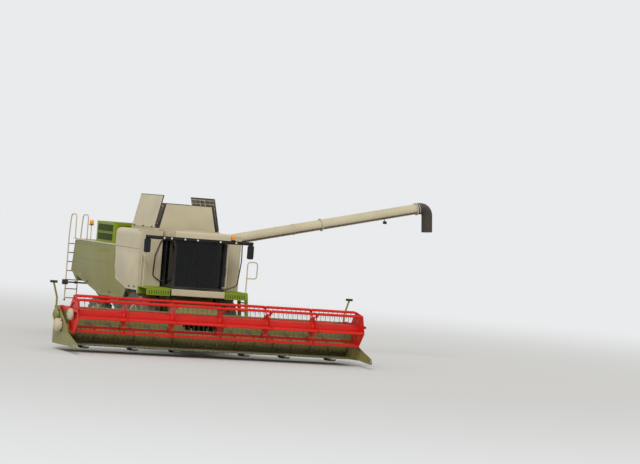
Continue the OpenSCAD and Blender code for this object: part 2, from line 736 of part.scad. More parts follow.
// Decks beside the cab with their step panels, and the ladder on the left
module platforms() {
  top = deck_z;
  y0 = -cab_front + 20;
  y1 = -body_front - e;
  run = 130;                              // lean of the ladder
  steps = 5;
  function rung_x(z) = deck_out + 20 + run * (top - z) / (top - 520);
  color(lime) placed() {
    both() {
      block([cab_half_w + 4, y0, top - 40], [deck_out, y1, top]);
      block([cab_half_w + 60, y0, top - 230], [deck_out, y0 + 40, top - 39]);
      block([cab_half_w + 60, y1 - 40, top - 230], [deck_out, y1, top - 39]);
    }
    for (y = [y0 + 120, y1 - 150]) along(y, y + 30) polygon([
      [deck_out - 40, top - 41], [deck_out - 40, top - 1], [rung_x(top) + 40, top - 1],
      [rung_x(520) + 60, 520], [rung_x(520) - 60, 520], [rung_x(top) - 60, top - 41]
    ]);
    for (i = [0 : steps - 1]) {
      z = 560 + i * 260;
      block([rung_x(z) - 70, y0 + 121, z], [rung_x(z) + 40, y1 - 121, z + 30]);
    }
  }
}

// Rails on the platforms and the bowed grab rails beside the cab
module handrails() {
  z = deck_z + e;
  x = deck_out - 40;
  y0 = -cab_front + 60;
  y1 = -body_front - 60;
  side = cab_half_w + e + 1;
  yc = -cab_front - 40;
  seat_y = -cab_front - e;
  color(cream) placed() {
    // Right: from the cab's rear pillar
    mirror([1, 0, 0]) pipe([[side, y1 + 20, cab_top_z - 60], [side + 164, y1 + 20, cab_top_z - 70],
      [side + 334, y1 + 20, 2870], [side + 364, y1 + 20, 2250], [side + 140, y1 + 20, 2110],
      [side, y1 + 20, 2105]], 16);
    // Left: from the visor down to the cab's front corner, and a straight rail by the front pillar
    pipe([[1330, bow_at(1330, bow_r - visor_d / 2), brim_z - visor_h - 2], [1330, yc + 20, 2900],
      [1235, yc, 2130], [880, yc, 2000], [790, yc + 2, 1983], [790, seat_y, 1983]], 18);
    pipe([[780, seat_y - 22, 3385], [868, yc + 2, 3370], [868, yc, 2060], [780, seat_y - 22, 2045]], 12);
    for (z = [2045, 3385]) shaft_y(seat_y - 36, seat_y, 15, 780, z);
    for (y = [y1 - 10, y1 - 300]) shaft_z(z, z + 950, 18, -x, y);
    shaft_y(y1 - 325, y1 + 15, 21, -x, z + 950);
    shaft_z(z, z + 950, 18, x, y0);
    shaft_z(z + 425, z + 950, 18, x + 320, y0);
    shaft_x(x - 25, x + 345, 21, y0, z + 950);
    shaft_x(x, x + 320, 14, y0, z + 450);
  }
}

// Side panels, hung under the seam and swinging up

// Outline of the cream front panel and of the olive rear panel, as [y, z] points
function front_panel_outline() = [
  [-body_front + 44, 1780], [-body_front + 44, hinge_z], [panel_split - panel_gap, hinge_z],
  [panel_split - panel_gap - 200, 2014], [600, 1774]
];
function rear_panel_outline() = [
  [panel_split, hinge_z], [body_rear, hinge_z], [body_rear + tail_rake, 2000],
  [3180, 1400], [820, 1470], [620, 1764], [panel_split - 196, 2006]
];

panel_gap = 10;                        // parting line between the two side panels
hinge_r = panel_t / 2;                 // rounded top edge that the panel turns on
hinge_z = seam_z - hinge_r;

module side_panel(outline) {
  ys = [for (p = outline) if (p.y > hinge_z - 60) p.x];
  across(skin_x, half_w) polygon(outline);
  shaft_y(min(ys), max(ys), hinge_r, skin_x + hinge_r, hinge_z);
}
module front_panel_left() { color(cream) placed() side_panel(front_panel_outline()); }
module front_panel_right() { color(cream) placed() mirror([1, 0, 0]) side_panel(front_panel_outline()); }
module rear_panel_left() { color(olive) placed() side_panel(rear_panel_outline()); }
module rear_panel_right() { color(olive) placed() mirror([1, 0, 0]) side_panel(rear_panel_outline()); }

// Grain tank lids, raised into a funnel

lid_x = tank_half_w - tank_wall / 2;   // turning axes of the side lids, on the tank's rim
lid_z = tank_rim_z + 20 + e;
end_lid_in = tank_wall + 16 + e;       // turning axes of the end lids, inside the tank's end walls
end_lid_z = tank_rim_z - 20;

module side_lid() {
  inset = end_lid_in + tank_wall / 2 + 14;
  translate([lid_x, 0, lid_z]) {
    rotate([0, -side_lid_lean, 0])
      block([-tank_wall / 2, tank_front + inset, 0], [tank_wall / 2, tank_rear - inset, side_lid_h]);
    shaft_y(tank_front + inset + 20, tank_rear - inset - 20, 20, 0, 0);
  }
}
module tank_lid_left() { color(cream) placed() side_lid(); }
module tank_lid_right() { color(cream) placed() mirror([1, 0, 0]) side_lid(); }

// End lid: a trapezium that follows the lean of the side lids
module end_lid() {
  x = tank_half_w - 75;
  lean = tan(side_lid_lean) * end_lid_h;
  along(-tank_wall / 2, tank_wall / 2)
    polygon([[-x, 0], [x, 0], [x - lean, end_lid_h], [-x + lean, end_lid_h]]);
  shaft_x(-x + 40, x - 40, 16, 0, 0);
}
module tank_lid_front() {
  color(cream) placed() translate([0, tank_front + end_lid_in, end_lid_z]) end_lid();
}
module tank_lid_rear() {
  color(cream) placed() translate([0, tank_rear - end_lid_in, end_lid_z]) end_lid();
}

// Unloading auger

// Elbow on its turning ring and the rising tube, out to its flange
module unloading_tube() {
  r = tube_d / 2;
  z = tube_ring_z + 230;
  color(cream) placed() {
    shaft_z(tube_ring_z, tube_ring_z + 30, 225, tube_pivot_x, tube_pivot_y);
    shaft_z(tube_ring_z + 29, tube_ring_z + 420, 190, tube_pivot_x, tube_pivot_y);
    shaft_z(tube_ring_z + 419, tube_ring_z + 460, 150, tube_pivot_x, tube_pivot_y);
    translate([tube_pivot_x, tube_pivot_y, z]) rotate([0, 90 - tube_rise, 0]) {
      cylinder(h = tube_len, r = r);
      for (x = [0.505 * tube_len - 16, tube_len - 32]) translate([0, 0, x]) cylinder(h = 32, r = r + 36);
      translate([0, 0, 0.36 * tube_len]) cylinder(h = 60, r = r + 10);
    }
  }
}

// Bent rubber spout on the end of the tube
module unloading_spout() {
  r = tube_d / 2 + 6;
  z = tube_ring_z + 230;
  module below_bend(out) {
    translate([spout_bend_r, 0, spout_lead]) rotate([0, spout_turn, 0])
      translate([-spout_bend_r, 0, out]) children();
  }
  color(rubber) placed()
    translate([tube_pivot_x, tube_pivot_y, z]) rotate([0, 90 - tube_rise, 0])
      translate([0, 0, tube_len + e]) difference() {
        union() {
          cylinder(h = spout_lead + 11, r = r + 16);
          translate([spout_bend_r, 0, spout_lead]) rotate([90, 0, 0]) rotate([0, 0, 180 - spout_turn])
            rotate_extrude(angle = spout_turn) translate([spout_bend_r, 0]) circle(r);
          below_bend(-12) cylinder(h = spout_drop + 12, r = r + 5);
        }
        below_bend(40) cylinder(h = spout_drop, r = r - 20);
      }
}

// Header

// Sloping elevator between body and header, with its turning pins
module feeder_house() {
  w = feeder_half_w;
  y = -back_wall_reach + 36;
  color(olive) placed() {
    difference() {
      across(-w, w) polygon([
        [y, sill_z + 2], [y, 980], [-520, 1780], [-250, 1790], [-130, 1640], [-200, 1360],
        [-560, 1230], [-1500, 300]
      ]);
      across(-w + 30, w - 30) polygon([
        [y - 1, 280], [y - 1, 950], [-540, 1745], [-300, 1755], [-300, 1440], [-590, 1265], [-1520, 330]
      ]);
    }
    both() shaft_x(w - 1, core_half_w, pin_r, feeder_pivot_y, feeder_pivot_z);
  }
}

// Table, back wall, top beam and end walls of the header
module header_frame() {
  x = table_half;
  yb = -back_wall_reach;
  color(olive) placed() {
    difference() {
      union() {
        // Table floor curving up into the back wall
        difference() {
          across(-x, x) polygon([
            [yb, table_z], [yb, back_wall_z], [yb - 24, back_wall_z], [yb - 24, auger_z],
            [auger_y, auger_z], [auger_y, table_z + 40], [-knife_reach + 120, knife_z + 10],
            [-knife_reach + 120, knife_z - 30], [auger_y - 200, table_z]
          ]);
          shaft_x(-x - 1, x + 1, auger_d / 2 + 28, auger_y, auger_z);
        }
        block([-x, yb - 30, back_wall_z - 1], [x, yb + 100, back_wall_z + 110]);
        block([-x, yb - 1, table_z], [x, yb + 60, sill_z]);
        // End walls
        both() across(x - 1, x + end_wall_t) polygon([
          [yb + 100, table_z], [yb + 100, back_wall_z + 110], [yb - 260, back_wall_z + 80],
          [-knife_reach + 60, 720], [-knife_reach - 60, 560], [-knife_reach - 60, table_z + 20],
          [auger_y, table_z]
        ]);
      }
      // Mouth of the feeder house
      block([-feeder_half_w + 40, yb - 100, 290], [feeder_half_w - 40, yb + 101, 940]);
    }
    // Seat of the feeder house
    for (z = [190, 985]) block([-feeder_half_w, yb - 1, z], [feeder_half_w, yb + 36 - e, z + 50]);
    // Knife guards
    for (i = [0 : floor(cut_w / 152) - 1])
      translate([-x + 100 + i * 152, -knife_reach + 121, knife_z - 22])
        rotate([90, 0, 0]) linear_extrude(150) square([26, 26]);
    // Marker posts on the back corners
    both() {
      pipe([[x + 30, yb + 40, back_wall_z + 100], [x + 30, yb + 40, 1500], [x + 160, yb + 40, 1930]], 28);
      block([x + 60, yb + 15, 1920], [x + 260, yb + 65, 1985]);
    }
    // Pins that the reel arms turn on
    both() block([x - 140, arm_pivot_y - 60, back_wall_z + 20], [x - 112, yb + 50, arm_pivot_z + 60]);
    both() shaft_x(x - 113, x - 40, reel_pin_r, arm_pivot_y, arm_pivot_z);
    // Crop dividers
    both() across(x, x + end_wall_t) polygon([
      [-knife_reach - 59, table_z + 40], [-knife_reach - 59, 560], [-divider_reach + 60, 300],
      [-divider_reach, 200], [-divider_reach + 60, 150]
    ]);
  }
}

// Domed covers of the drives outside the right end wall
module drive_covers() {
  x = -header_half - e;
  module dome(out, r, y, z) {
    shaft_x(x - out + 60, x, r, y, z);
    shaft_x(x - out + 20, x, r - 40, y, z);
    shaft_x(x - out, x, 60, y, z);
  }
  color(cream) placed() {
    dome(divider_out, 190, -knife_reach + 520, 740);
    dome(divider_out - 70, 180, auger_y + 60, back_wall_z - 130);
  }
}

// Screw that gathers the crop to the middle, with fingers in front of the feeder house
module table_auger() {
  r = auger_tube_d / 2;
  end = table_half - 20;
  flight_r = auger_d / 2;
  turns = (end - feeder_half_w) / auger_pitch;
  steps = 10;
  color(olive) placed() translate([0, auger_y, auger_z]) {
    rotate([0, 90, 0]) cylinder(h = 2 * end, r = r, center = true, $fn = 32);
    rotate([0, 90, 0]) cylinder(h = 2 * (table_half - 1 - e), r = 45, center = true);
    both() for (i = [0 : floor(turns * steps) - 1])
      translate([feeder_half_w + i * auger_pitch / steps, 0, 0]) rotate([i * 360 / steps, 0, 0])
        rotate([0, 90, 0]) linear_extrude(auger_pitch / steps + 3 + i % 2)
          polygon([[r - 20, -12], for (a = [-4, 9, 22, 35]) flight_r * [cos(a), sin(a)],
                   (r - 20) * [cos(35), sin(35)]]);
    for (i = [-4 : 4], s = [0, 1])
      translate([i * 150, 0, 0]) rotate([i * 70 + s * 180, 0, 0]) cylinder(h = flight_r, r = 10, $fn = 12);
  }
}

// Reel

bats = 6;
reel_half = reel_len / 2;
bay = reel_len / reel_bays;
// Middle of a bat, as [y, z] from the reel's axis; angles go from forward through up
function bat_place(i) = reel_r * [-cos(bat_phase + i * bat_step), sin(bat_phase + i * bat_step)];

arm_t = 30;                           // thickness of the reel's arms and carriages
stub_in = 80;                         // how far a stub reaches into the reel's tube
// Where bat i, or a place between two bats, lies on a plate across the reel, f of the way out
function on_plate(i, f) = f * [-bat_place(i).y, bat_place(i).x];

module reel_arms() {
  w = arm_t;
  eye_r = 68;                             // rounded end, clear of the header's beam when raised
  color(red) placed() both() difference() {
    union() {
      shaft_x(arm_x - w, arm_x, eye_r, arm_pivot_y, arm_pivot_z);
      across(arm_x - w, arm_x) polygon([
        [arm_pivot_y, arm_pivot_z - eye_r], [arm_pivot_y, arm_pivot_z + eye_r],
        [arm_pivot_y - 200, arm_pivot_z + 90], [-reel_reach - 480, reel_z + 130],
        [-reel_reach - 480, reel_z + 56 + e], [-reel_reach + 230, reel_z + 56 + e],
        [arm_pivot_y - 200, arm_pivot_z - 60]
      ]);
    }
    shaft_x(arm_x - w - 1, arm_x + 1, reel_pin_r + shaft_gap, arm_pivot_y, arm_pivot_z);
  }
}

// Blocks that slide under the arms, each with the stub that the reel turns on
module reel_carriages() {
  color(red) placed() both() {
    across(arm_x - arm_t, arm_x) polygon([
      [-reel_reach - 110, reel_z - 60], [-reel_reach - 110, reel_z + 56],
      [-reel_reach + 110, reel_z + 56], [-reel_reach + 110, reel_z - 60]
    ]);
    shaft_x(reel_half - stub_in, arm_x - 5, reel_pin_r, -reel_reach, reel_z);
  }
}

// Pressed star with scalloped sides, one arm for each bat
module star() {
  rotate([0, 90, 0]) linear_extrude(12, center = true) difference() {
    rotate(90 - bat_phase) circle(reel_r + 35, $fn = 6);
    for (i = [0 : bats - 1]) {
      translate(on_plate(i + 0.5, 0.95)) circle(0.36 * reel_r);
      translate(on_plate(i, 0.62)) circle(0.1 * reel_r);
      translate(on_plate(i, 1)) circle(bat_d / 2 + e);
    }
  }
}

// Tube, stars and end plates
module reel_rotor() {
  color(red) placed() translate([0, -reel_reach, reel_z]) difference() {
    union() {
      rotate([0, 90, 0]) cylinder(h = reel_len, d = reel_tube_d, center = true);
      for (s = [1 : reel_bays - 1]) translate([s * bay - reel_half, 0, 0]) star();
      for (s = [-1, 1]) translate([s * (reel_half - 5), 0, 0]) rotate([0, 90, 0])
        linear_extrude(10, center = true) difference() {
          rotate(90 - bat_phase) circle(reel_r + 35, $fn = 6);
          for (i = [0 : bats - 1]) translate(on_plate(i, 1)) circle(bat_d / 2 + e);
        }
    }
    for (s = [-1, 1]) translate([s * (reel_half - stub_in / 2), 0, 0]) rotate([0, 90, 0])
      cylinder(h = stub_in + 10, r = reel_pin_r + shaft_gap, center = true);
  }
}

// Spider that runs off centre and holds every bat's crank, so that the tines stay upright
module control_ring() {
  color(red) placed() translate([-reel_half - 30, -reel_reach, reel_z - control_offset]) {
    rotate([0, 90, 0]) difference() {
      linear_extrude(10) difference() {
        rotate(90 - bat_phase) circle(reel_r + 20, $fn = 6);
        circle(0.75 * reel_r);
      }
      for (i = [0 : bats - 1]) translate([each on_plate(i, 1), -1]) cylinder(h = 12, r = 12 + shaft_gap);
    }
  }
}

// One bat: tube, crank to the control ring and a row of tines
module reel_bat(i) {
  y = bat_place(i).x;
  z = bat_place(i).y;
  tines = floor((reel_len - 120) / tine_pitch);
  color(red) placed() translate([0, y - reel_reach, z + reel_z]) {
    rotate([0, 90, 0]) cylinder(h = reel_len + 6, r = bat_d / 2, center = true, $fn = 24);
    block([-reel_half - 16, -20, -control_offset - 25], [-reel_half - 3, 20, 20]);
    shaft_x(-reel_half - 34, -reel_half - 15, 12, 0, -control_offset);
    for (k = [0 : tines - 1])
      translate([(k - (tines - 1) / 2) * tine_pitch - 4, 0, 0]) across(0, 8)
        polygon([[-14, -10], [12, -10], [-16, -tine_len - 10], [-24, -tine_len - 10]]);
  }
}
module reel_bat_1() { reel_bat(0); }
module reel_bat_2() { reel_bat(1); }
module reel_bat_3() { reel_bat(2); }
module reel_bat_4() { reel_bat(3); }
module reel_bat_5() { reel_bat(4); }
module reel_bat_6() { reel_bat(5); }

threshing_body();
front_axle();
rear_axle();
engine();
grain_tank();
body_cladding();
radiator_housing();
rear_hood();
straw_chopper();
rear_ladder();
tow_hitch();
cab_body();
cab_roof();
cab_glass();
driver_seat();
steering_column();
visor();
mirrors();
lamps();
platforms();
handrails();
cab_apron();
cab_door();
door_glass();
tail_lamps();
front_panel_left();
front_panel_right();
rear_panel_left();
rear_panel_right();
tank_lid_left();
tank_lid_right();
tank_lid_front();
tank_lid_rear();
knuckle_left();
knuckle_right();
front_tyre_left();
front_tyre_right();
front_rim_left();
front_rim_right();
rear_tyre_left();
rear_tyre_right();
rear_rim_left();
rear_rim_right();
unloading_tube();
unloading_spout();
feeder_house();
header_frame();
drive_covers();
table_auger();
reel_arms();
reel_carriages();
reel_rotor();
control_ring();
reel_bat_1();
reel_bat_2();
reel_bat_3();
reel_bat_4();
reel_bat_5();
reel_bat_6();
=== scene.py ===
"""Dresses the combine harvester: finishes, fittings, floor, light and camera.

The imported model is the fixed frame. A Finish is one real surface, and a Shape is one piece under
construction. Each sub-assembly is a class that holds its sizes and builds its pieces.
Sizes are in metres and lie in the frame's own axes: UP is +Z, BACK is +Y, LEFT is +X.
A point is a Vector in the frame, or a triple from the machine's own zero: metres to the left of its
middle plane, behind the front axle and above the ground. Directions are vectors or triples too.
"""

import logging
import math
from collections.abc import Callable, Iterable
from dataclasses import dataclass
from enum import Enum
from functools import cache

import bmesh
import bpy
from bpy.types import Material, Node, NodeSocket, NodeTree, Object, World
from mathutils import Matrix, Vector


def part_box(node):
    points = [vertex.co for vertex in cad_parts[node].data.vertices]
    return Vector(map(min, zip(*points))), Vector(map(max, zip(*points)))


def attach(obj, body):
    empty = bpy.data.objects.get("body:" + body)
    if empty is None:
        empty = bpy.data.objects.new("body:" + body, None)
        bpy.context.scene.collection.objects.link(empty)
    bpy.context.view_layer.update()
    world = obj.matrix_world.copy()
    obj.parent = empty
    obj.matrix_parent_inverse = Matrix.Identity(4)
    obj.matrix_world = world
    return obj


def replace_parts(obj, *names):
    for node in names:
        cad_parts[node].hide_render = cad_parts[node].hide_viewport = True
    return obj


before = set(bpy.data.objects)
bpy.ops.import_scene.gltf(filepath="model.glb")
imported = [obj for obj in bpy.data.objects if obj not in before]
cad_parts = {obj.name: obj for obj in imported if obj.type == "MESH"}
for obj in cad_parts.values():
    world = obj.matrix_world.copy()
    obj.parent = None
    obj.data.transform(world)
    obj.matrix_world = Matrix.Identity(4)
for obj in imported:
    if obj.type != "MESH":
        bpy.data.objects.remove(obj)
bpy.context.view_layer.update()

LOG = logging.getLogger("harvester")
Triple = tuple[float, float, float]
Point = Vector | Triple

PHOTO_WIDTH_PX = 640
PHOTO_HEIGHT_PX = 464
SENSOR_MM = 36.0
SIDES = ((1, "left"), (-1, "right"))
LEFT, BACK, UP = Vector((1, 0, 0)), Vector((0, 1, 0)), Vector((0, 0, 1))

# Dry field dust, the flecks of it on a metre, and the heights at which it lies thickest and ends
DUST = "b3a585"
FLECKS_PER_M = 9.0
DUST_HEIGHTS = (0.2, 2.6)
# How much darker the broad patches of a faded paint are, and how many there are on a metre
SHADE = 0.10
PATCHES_PER_M = 1.3
# At a scale of 1 the wave texture's bands lie 314 mm apart. Its scale is the grains on a metre divided
# by this, which puts two threads not quite two grains apart
WEAVE_DIVISOR = 6
# Points nearer than this are one point, and edges flatter than this angle are not rounded
MERGE = 1e-5
FLAT = 0.35

# The machine's own zero, worked out from the frame
MIDDLE_X = sum(corner.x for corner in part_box("cab_body")) / 2
FRONT_AXLE_Y = sum(corner.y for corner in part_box("front_tyre_left")) / 2


def linear(hex_colour: str) -> tuple[float, float, float, float]:
    """Turns an sRGB hex colour into the linear colour a shader takes.

    Args:
        hex_colour: Six hex digits, such as "7c8450".

    Returns:
        Red, green, blue and alpha, from 0 to 1.
    """
    channels = [int(hex_colour[i:i + 2], 16) / 255 for i in (0, 2, 4)]
    curve = [c / 12.92 if c <= 0.04045 else ((c + 0.055) / 1.055) ** 2.4 for c in channels]
    return (*curve, 1.0)


def empty_tree(owner: Material | World) -> NodeTree:
    """Turns on the nodes of a material or a world and clears them.

    Args:
        owner: The material or the world.

    Returns:
        Its empty node tree.
    """
    owner.use_nodes = True
    owner.node_tree.nodes.clear()
    return owner.node_tree


def add_node(tree: NodeTree, kind: str, inputs: dict | None = None, **settings: object) -> Node:
    """Adds one shader node with its settings and links.

    Args:
        tree: The material's or world's node tree.
        kind: The node's type name after "ShaderNode", such as "TexNoise".
        inputs: Values or output sockets by input name or index.
        settings: Properties of the node itself.

    Returns:
        The new node.
    """
    node = tree.nodes.new("ShaderNode" + kind)
    for name, value in settings.items():
        setattr(node, name, value)
    for key, value in (inputs or {}).items():
        if isinstance(value, NodeSocket):
            tree.links.new(value, node.inputs[key])
        else:
            node.inputs[key].default_value = value
    return node


class Texture(Enum):
    """What a surface's fine bump looks like."""

    GRAINED = "grained"
    WOVEN = "woven"
    SMOOTH = "smooth"


@dataclass(frozen=True)
class Finish:
    """One real finish: its colour, gloss, fine bump and the dust that lies on it."""

    name: str
    colour: str
    roughness: float
    texture: Texture = Texture.GRAINED
    metallic: float = 0.0
    ior: float = 1.5
    dust: float = 0.35
    grain_mm: float = 2.0
    bump: float = 0.05
    alpha: float = 1.0
    specular: float = 0.5

    @cache
    def material(self) -> Material:
        """Makes the material, once: base colour with broad fading, dust on upward faces, fine bump.

        Returns:
            The finished material.
        """
        material = bpy.data.materials.new(self.name)
        tree = empty_tree(material)
        place = add_node(tree, "TexCoord").outputs["Object"]
        surface = add_node(tree, "BsdfPrincipled", {
            "Base Color": self.paint(tree, place), "Roughness": self.roughness, "Metallic": self.metallic,
            "IOR": self.ior, "Alpha": self.alpha, "Specular IOR Level": self.specular,
        })
        if self.texture is not Texture.SMOOTH:
            tree.links.new(self.relief(tree, place), surface.inputs["Normal"])
        add_node(tree, "OutputMaterial", {"Surface": surface.outputs["BSDF"]})
        return material

    def paint(self, tree: NodeTree, place: NodeSocket) -> NodeSocket:
        """Colours the surface, faded in broad patches and dusted from above.

        Args:
            tree: The material's node tree.
            place: The object coordinates.

        Returns:
            The colour output.
        """
        patches = add_node(tree, "TexNoise", {"Vector": place, "Scale": PATCHES_PER_M, "Detail": 4.0})
        fade = add_node(tree, "MapRange", {"Value": patches.outputs["Fac"], "From Min": 0.3, "From Max": 0.7})
        base = Vector(linear(self.colour)[:3])
        dark, pale = ((*(base * share), 1.0) for share in (1 - SHADE, 1 + 0.5 * SHADE))
        faded = add_node(tree, "Mix", {"Factor": fade.outputs[0], "A": dark, "B": pale},
                         data_type="RGBA").outputs["Result"]
        if self.dust <= 0:
            return faded
        normal = add_node(tree, "NewGeometry").outputs["Normal"]
        upward, height = (add_node(tree, "SeparateXYZ", {"Vector": vector}).outputs["Z"]
                          for vector in (normal, place))
        flecks = add_node(tree, "TexNoise", {"Vector": place, "Scale": FLECKS_PER_M, "Detail": 8.0,
                                             "Roughness": 0.7}).outputs["Fac"]
        settled, thrown, patchy = (
            add_node(tree, "MapRange", {"Value": value, "From Min": low, "From Max": high}).outputs[0]
            for value, low, high in ((upward, 0.1, 1.0), (height, *DUST_HEIGHTS[::-1]), (flecks, 0.25, 0.75)))
        dust = settled
        for other, operation, clamp in ((thrown, "ADD", False), (patchy, "MULTIPLY", False),
                                        (self.dust, "MULTIPLY", True)):
            dust = add_node(tree, "Math", {0: dust, 1: other}, operation=operation,
                            use_clamp=clamp).outputs[0]
        return add_node(tree, "Mix", {"Factor": dust, "A": faded, "B": linear(DUST)},
                        data_type="RGBA").outputs["Result"]

    def relief(self, tree: NodeTree, place: NodeSocket) -> NodeSocket:
        """Raises the fine bump that the way of making leaves.

        Args:
            tree: The material's node tree.
            place: The object coordinates.

        Returns:
            The normal output.
        """
        per_metre = 1000 / self.grain_mm
        if self.texture is Texture.WOVEN:
            warp, weft = (add_node(tree, "TexWave", {"Vector": place, "Scale": per_metre / WEAVE_DIVISOR},
                                   bands_direction=way).outputs["Fac"] for way in ("X", "Z"))
            pattern = add_node(tree, "Math", {0: warp, 1: weft}, operation="ADD")
        else:
            pattern = add_node(tree, "TexNoise", {"Vector": place, "Scale": per_metre, "Detail": 2.0})
        return add_node(tree, "Bump", {
            "Strength": 1.0, "Distance": self.bump * self.grain_mm / 1000, "Height": pattern.outputs[0],
        }).outputs["Normal"]


# Every grain and weave below is drawn several times coarser than the real one, be it an enamel's orange
# peel of 1 to 2 mm, cloth thread of 1 mm or wire cloth of 3 mm. The real ones would not show in the render
# Two-pack enamels over sheet steel: satin films that fade and take dust
OLIVE = Finish("olive_enamel", "858248", 0.48, specular=0.3, dust=0.2, grain_mm=6)
CREAM = Finish("cream_enamel", "c9bd9f", 0.46, specular=0.3, dust=0.2, grain_mm=6)
LIME = Finish("lime_enamel", "869b16", 0.46, specular=0.3, dust=0.1, grain_mm=6)
# Gloss enamel on the reel's steel tube and strips
RED = Finish("red_enamel", "da170b", 0.4, specular=0.3, dust=0.04, grain_mm=6)
# The lids' insides: dull, in a darker brown that is painted shade, as they face away from the light
SHADED_LID_INSIDE = Finish("shaded_lid_inside_enamel", "6f634e", 0.6, dust=0.12, grain_mm=6)
# Flight sheet that straw has rubbed to a dull shine through its olive
WORN = Finish("rubbed_olive", "8d8c6d", 0.4, metallic=0.35, dust=0.25, grain_mm=6)
# Matt chassis black over castings and plate
BLACK = Finish("chassis_black", "1c1c1d", 0.6, specular=0.35, dust=0.45, grain_mm=8)
# Dark wire cloth in the cooling housing, green with chaff
MESH = Finish("wire_cloth", "38440f", 0.7, Texture.WOVEN, specular=0.2, dust=0.1, grain_mm=14, bump=0.3)
# Polypropylene as moulded: fine grain and no gloss
PLASTIC = Finish("black_polypropylene", "151516", 0.55, ior=1.49, specular=0.35, dust=0.3, grain_mm=4,
                 bump=0.2)
# Carbon-black rubber: the tyres dull and pale with dust, the spout brown, the seals clean and dark
TYRE = Finish("tyre_rubber", "26272a", 0.8, ior=1.52, dust=0.8, grain_mm=8, bump=0.2)
SPOUT = Finish("spout_rubber", "3d3731", 0.75, ior=1.52, grain_mm=8, bump=0.2)
RUBBER_TRIM = Finish("seal_rubber", "191a1b", 0.7, ior=1.52, dust=0.2, grain_mm=4)
# Bare steel with a bright shine, polished by the crop
STEEL = Finish("worked_steel", "a7a7a4", 0.38, metallic=1.0, dust=0.1, grain_mm=5)
# Spring steel tines, dulled dark by the crop
TINE = Finish("tine_steel", "4a4744", 0.55, metallic=0.2, dust=0.15, grain_mm=5)
# Zinc-plated fasteners, small and bright
ZINC = Finish("zinc_plate", "b4b5b2", 0.35, metallic=1.0, dust=0.15, grain_mm=3)
# Castings under grey paint, rough from the sand
IRON = Finish("painted_casting", "4b4d4e", 0.6, dust=0.3, grain_mm=8)
# Seat cloth: dark, woven and without shine
FABRIC = Finish("seat_cloth", "2b2d31", 0.9, Texture.WOVEN, dust=0.1, grain_mm=6, bump=0.3)
# Tinted laminated glass: near black from outside, with a clear reflection
GLASS = Finish("tinted_glass", "07090a", 0.05, Texture.SMOOTH, ior=1.52, dust=0.03, alpha=0.62, specular=0.28)
# Mirror glass that shows what lies behind the machine
MIRROR = Finish("silvered_glass", "d9dcdc", 0.03, Texture.SMOOTH, metallic=1.0, dust=0.0)
# Glossy lamp plastics in amber, water white and red
AMBER = Finish("amber_polycarbonate", "f0961e", 0.15, Texture.SMOOTH, ior=1.58, dust=0.05)
LENS = Finish("clear_polycarbonate", "e9e8e0", 0.12, Texture.SMOOTH, ior=1.58, dust=0.05)
TAIL_RED = Finish("red_polycarbonate", "a81410", 0.15, Texture.SMOOTH, ior=1.58, dust=0.05)

NODE_FINISH: dict[Finish, str] = {
    OLIVE: "threshing_body rear_hood rear_panel_left rear_panel_right feeder_house header_frame",
    CREAM: "grain_tank body_cladding cab_roof cab_apron front_panel_left front_panel_right tank_lid_left "
           "tank_lid_right tank_lid_front tank_lid_rear unloading_tube handrails rear_ladder drive_covers "
           "front_rim_left front_rim_right rear_rim_left rear_rim_right",
    LIME: "radiator_housing platforms",
    RED: "reel_arms reel_carriages reel_rotor control_ring "
         "reel_bat_1 reel_bat_2 reel_bat_3 reel_bat_4 reel_bat_5 reel_bat_6",
    BLACK: "front_axle rear_axle straw_chopper tow_hitch knuckle_left knuckle_right cab_body cab_door "
           "tail_lamps",
    PLASTIC: "visor mirrors steering_column",
    TYRE: "front_tyre_left front_tyre_right rear_tyre_left rear_tyre_right",
    SPOUT: "unloading_spout",
    GLASS: "cab_glass door_glass",
    LENS: "lamps",
    IRON: "engine",
    FABRIC: "driver_seat",
}


def dress(piece: Object, finish: Finish) -> None:
    """Gives a piece one finish all over."""
    piece.data.materials.clear()
    piece.data.materials.append(finish.material())


def at(x: float, y: float, z: float) -> Vector:
    """Returns the frame's point for a place given from the machine's own zero."""
    return Vector((MIDDLE_X + x, FRONT_AXLE_Y + y, z))


def spot(point: Point) -> Vector:
    """Returns a point of the frame: a vector as it is, a triple counted from the machine's zero."""
    return point if isinstance(point, Vector) else at(*point)


def spoke(turn: float, length: float = 1.0) -> Vector:
    """Returns the vector that stands straight up, turned about the X axis."""
    return Vector((0, -math.sin(turn), math.cos(turn))) * length


def paint_part(node: str, finish: Finish, inside: Callable[[Vector], bool]) -> None:
    """Gives the faces of a node that lie in one place a second finish.

    Args:
        node: The node's name.
        finish: The finish of those faces.
        inside: Says of a face's middle, from the machine's zero, whether the face takes it.
    """
    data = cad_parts[node].data
    data.materials.append(finish.material())
    for face in data.polygons:
        if inside(face.center - at(0, 0, 0)):
            face.material_index = len(data.materials) - 1


def rounded(points: Iterable[Point], radius: float, steps: int = 5) -> list[Vector]:
    """Rounds the corners of a path.

    Args:
        points: The path's corners.
        radius: How far before each corner the bend starts, at most.
        steps: Chords in each bend.

    Returns:
        The path's points, bends included.
    """
    corners = [spot(point) for point in points]
    path = [corners[0]]
    for before, corner, after in zip(corners, corners[1:], corners[2:]):
        reach = min(radius, (before - corner).length * 0.45, (after - corner).length * 0.45)
        start = corner + (before - corner).normalized() * reach
        end = corner + (after - corner).normalized() * reach
        for t in (i / steps for i in range(steps + 1)):
            path.append(start * (1 - t) ** 2 + corner * 2 * t * (1 - t) + end * t * t)
    return [*path, corners[-1]]


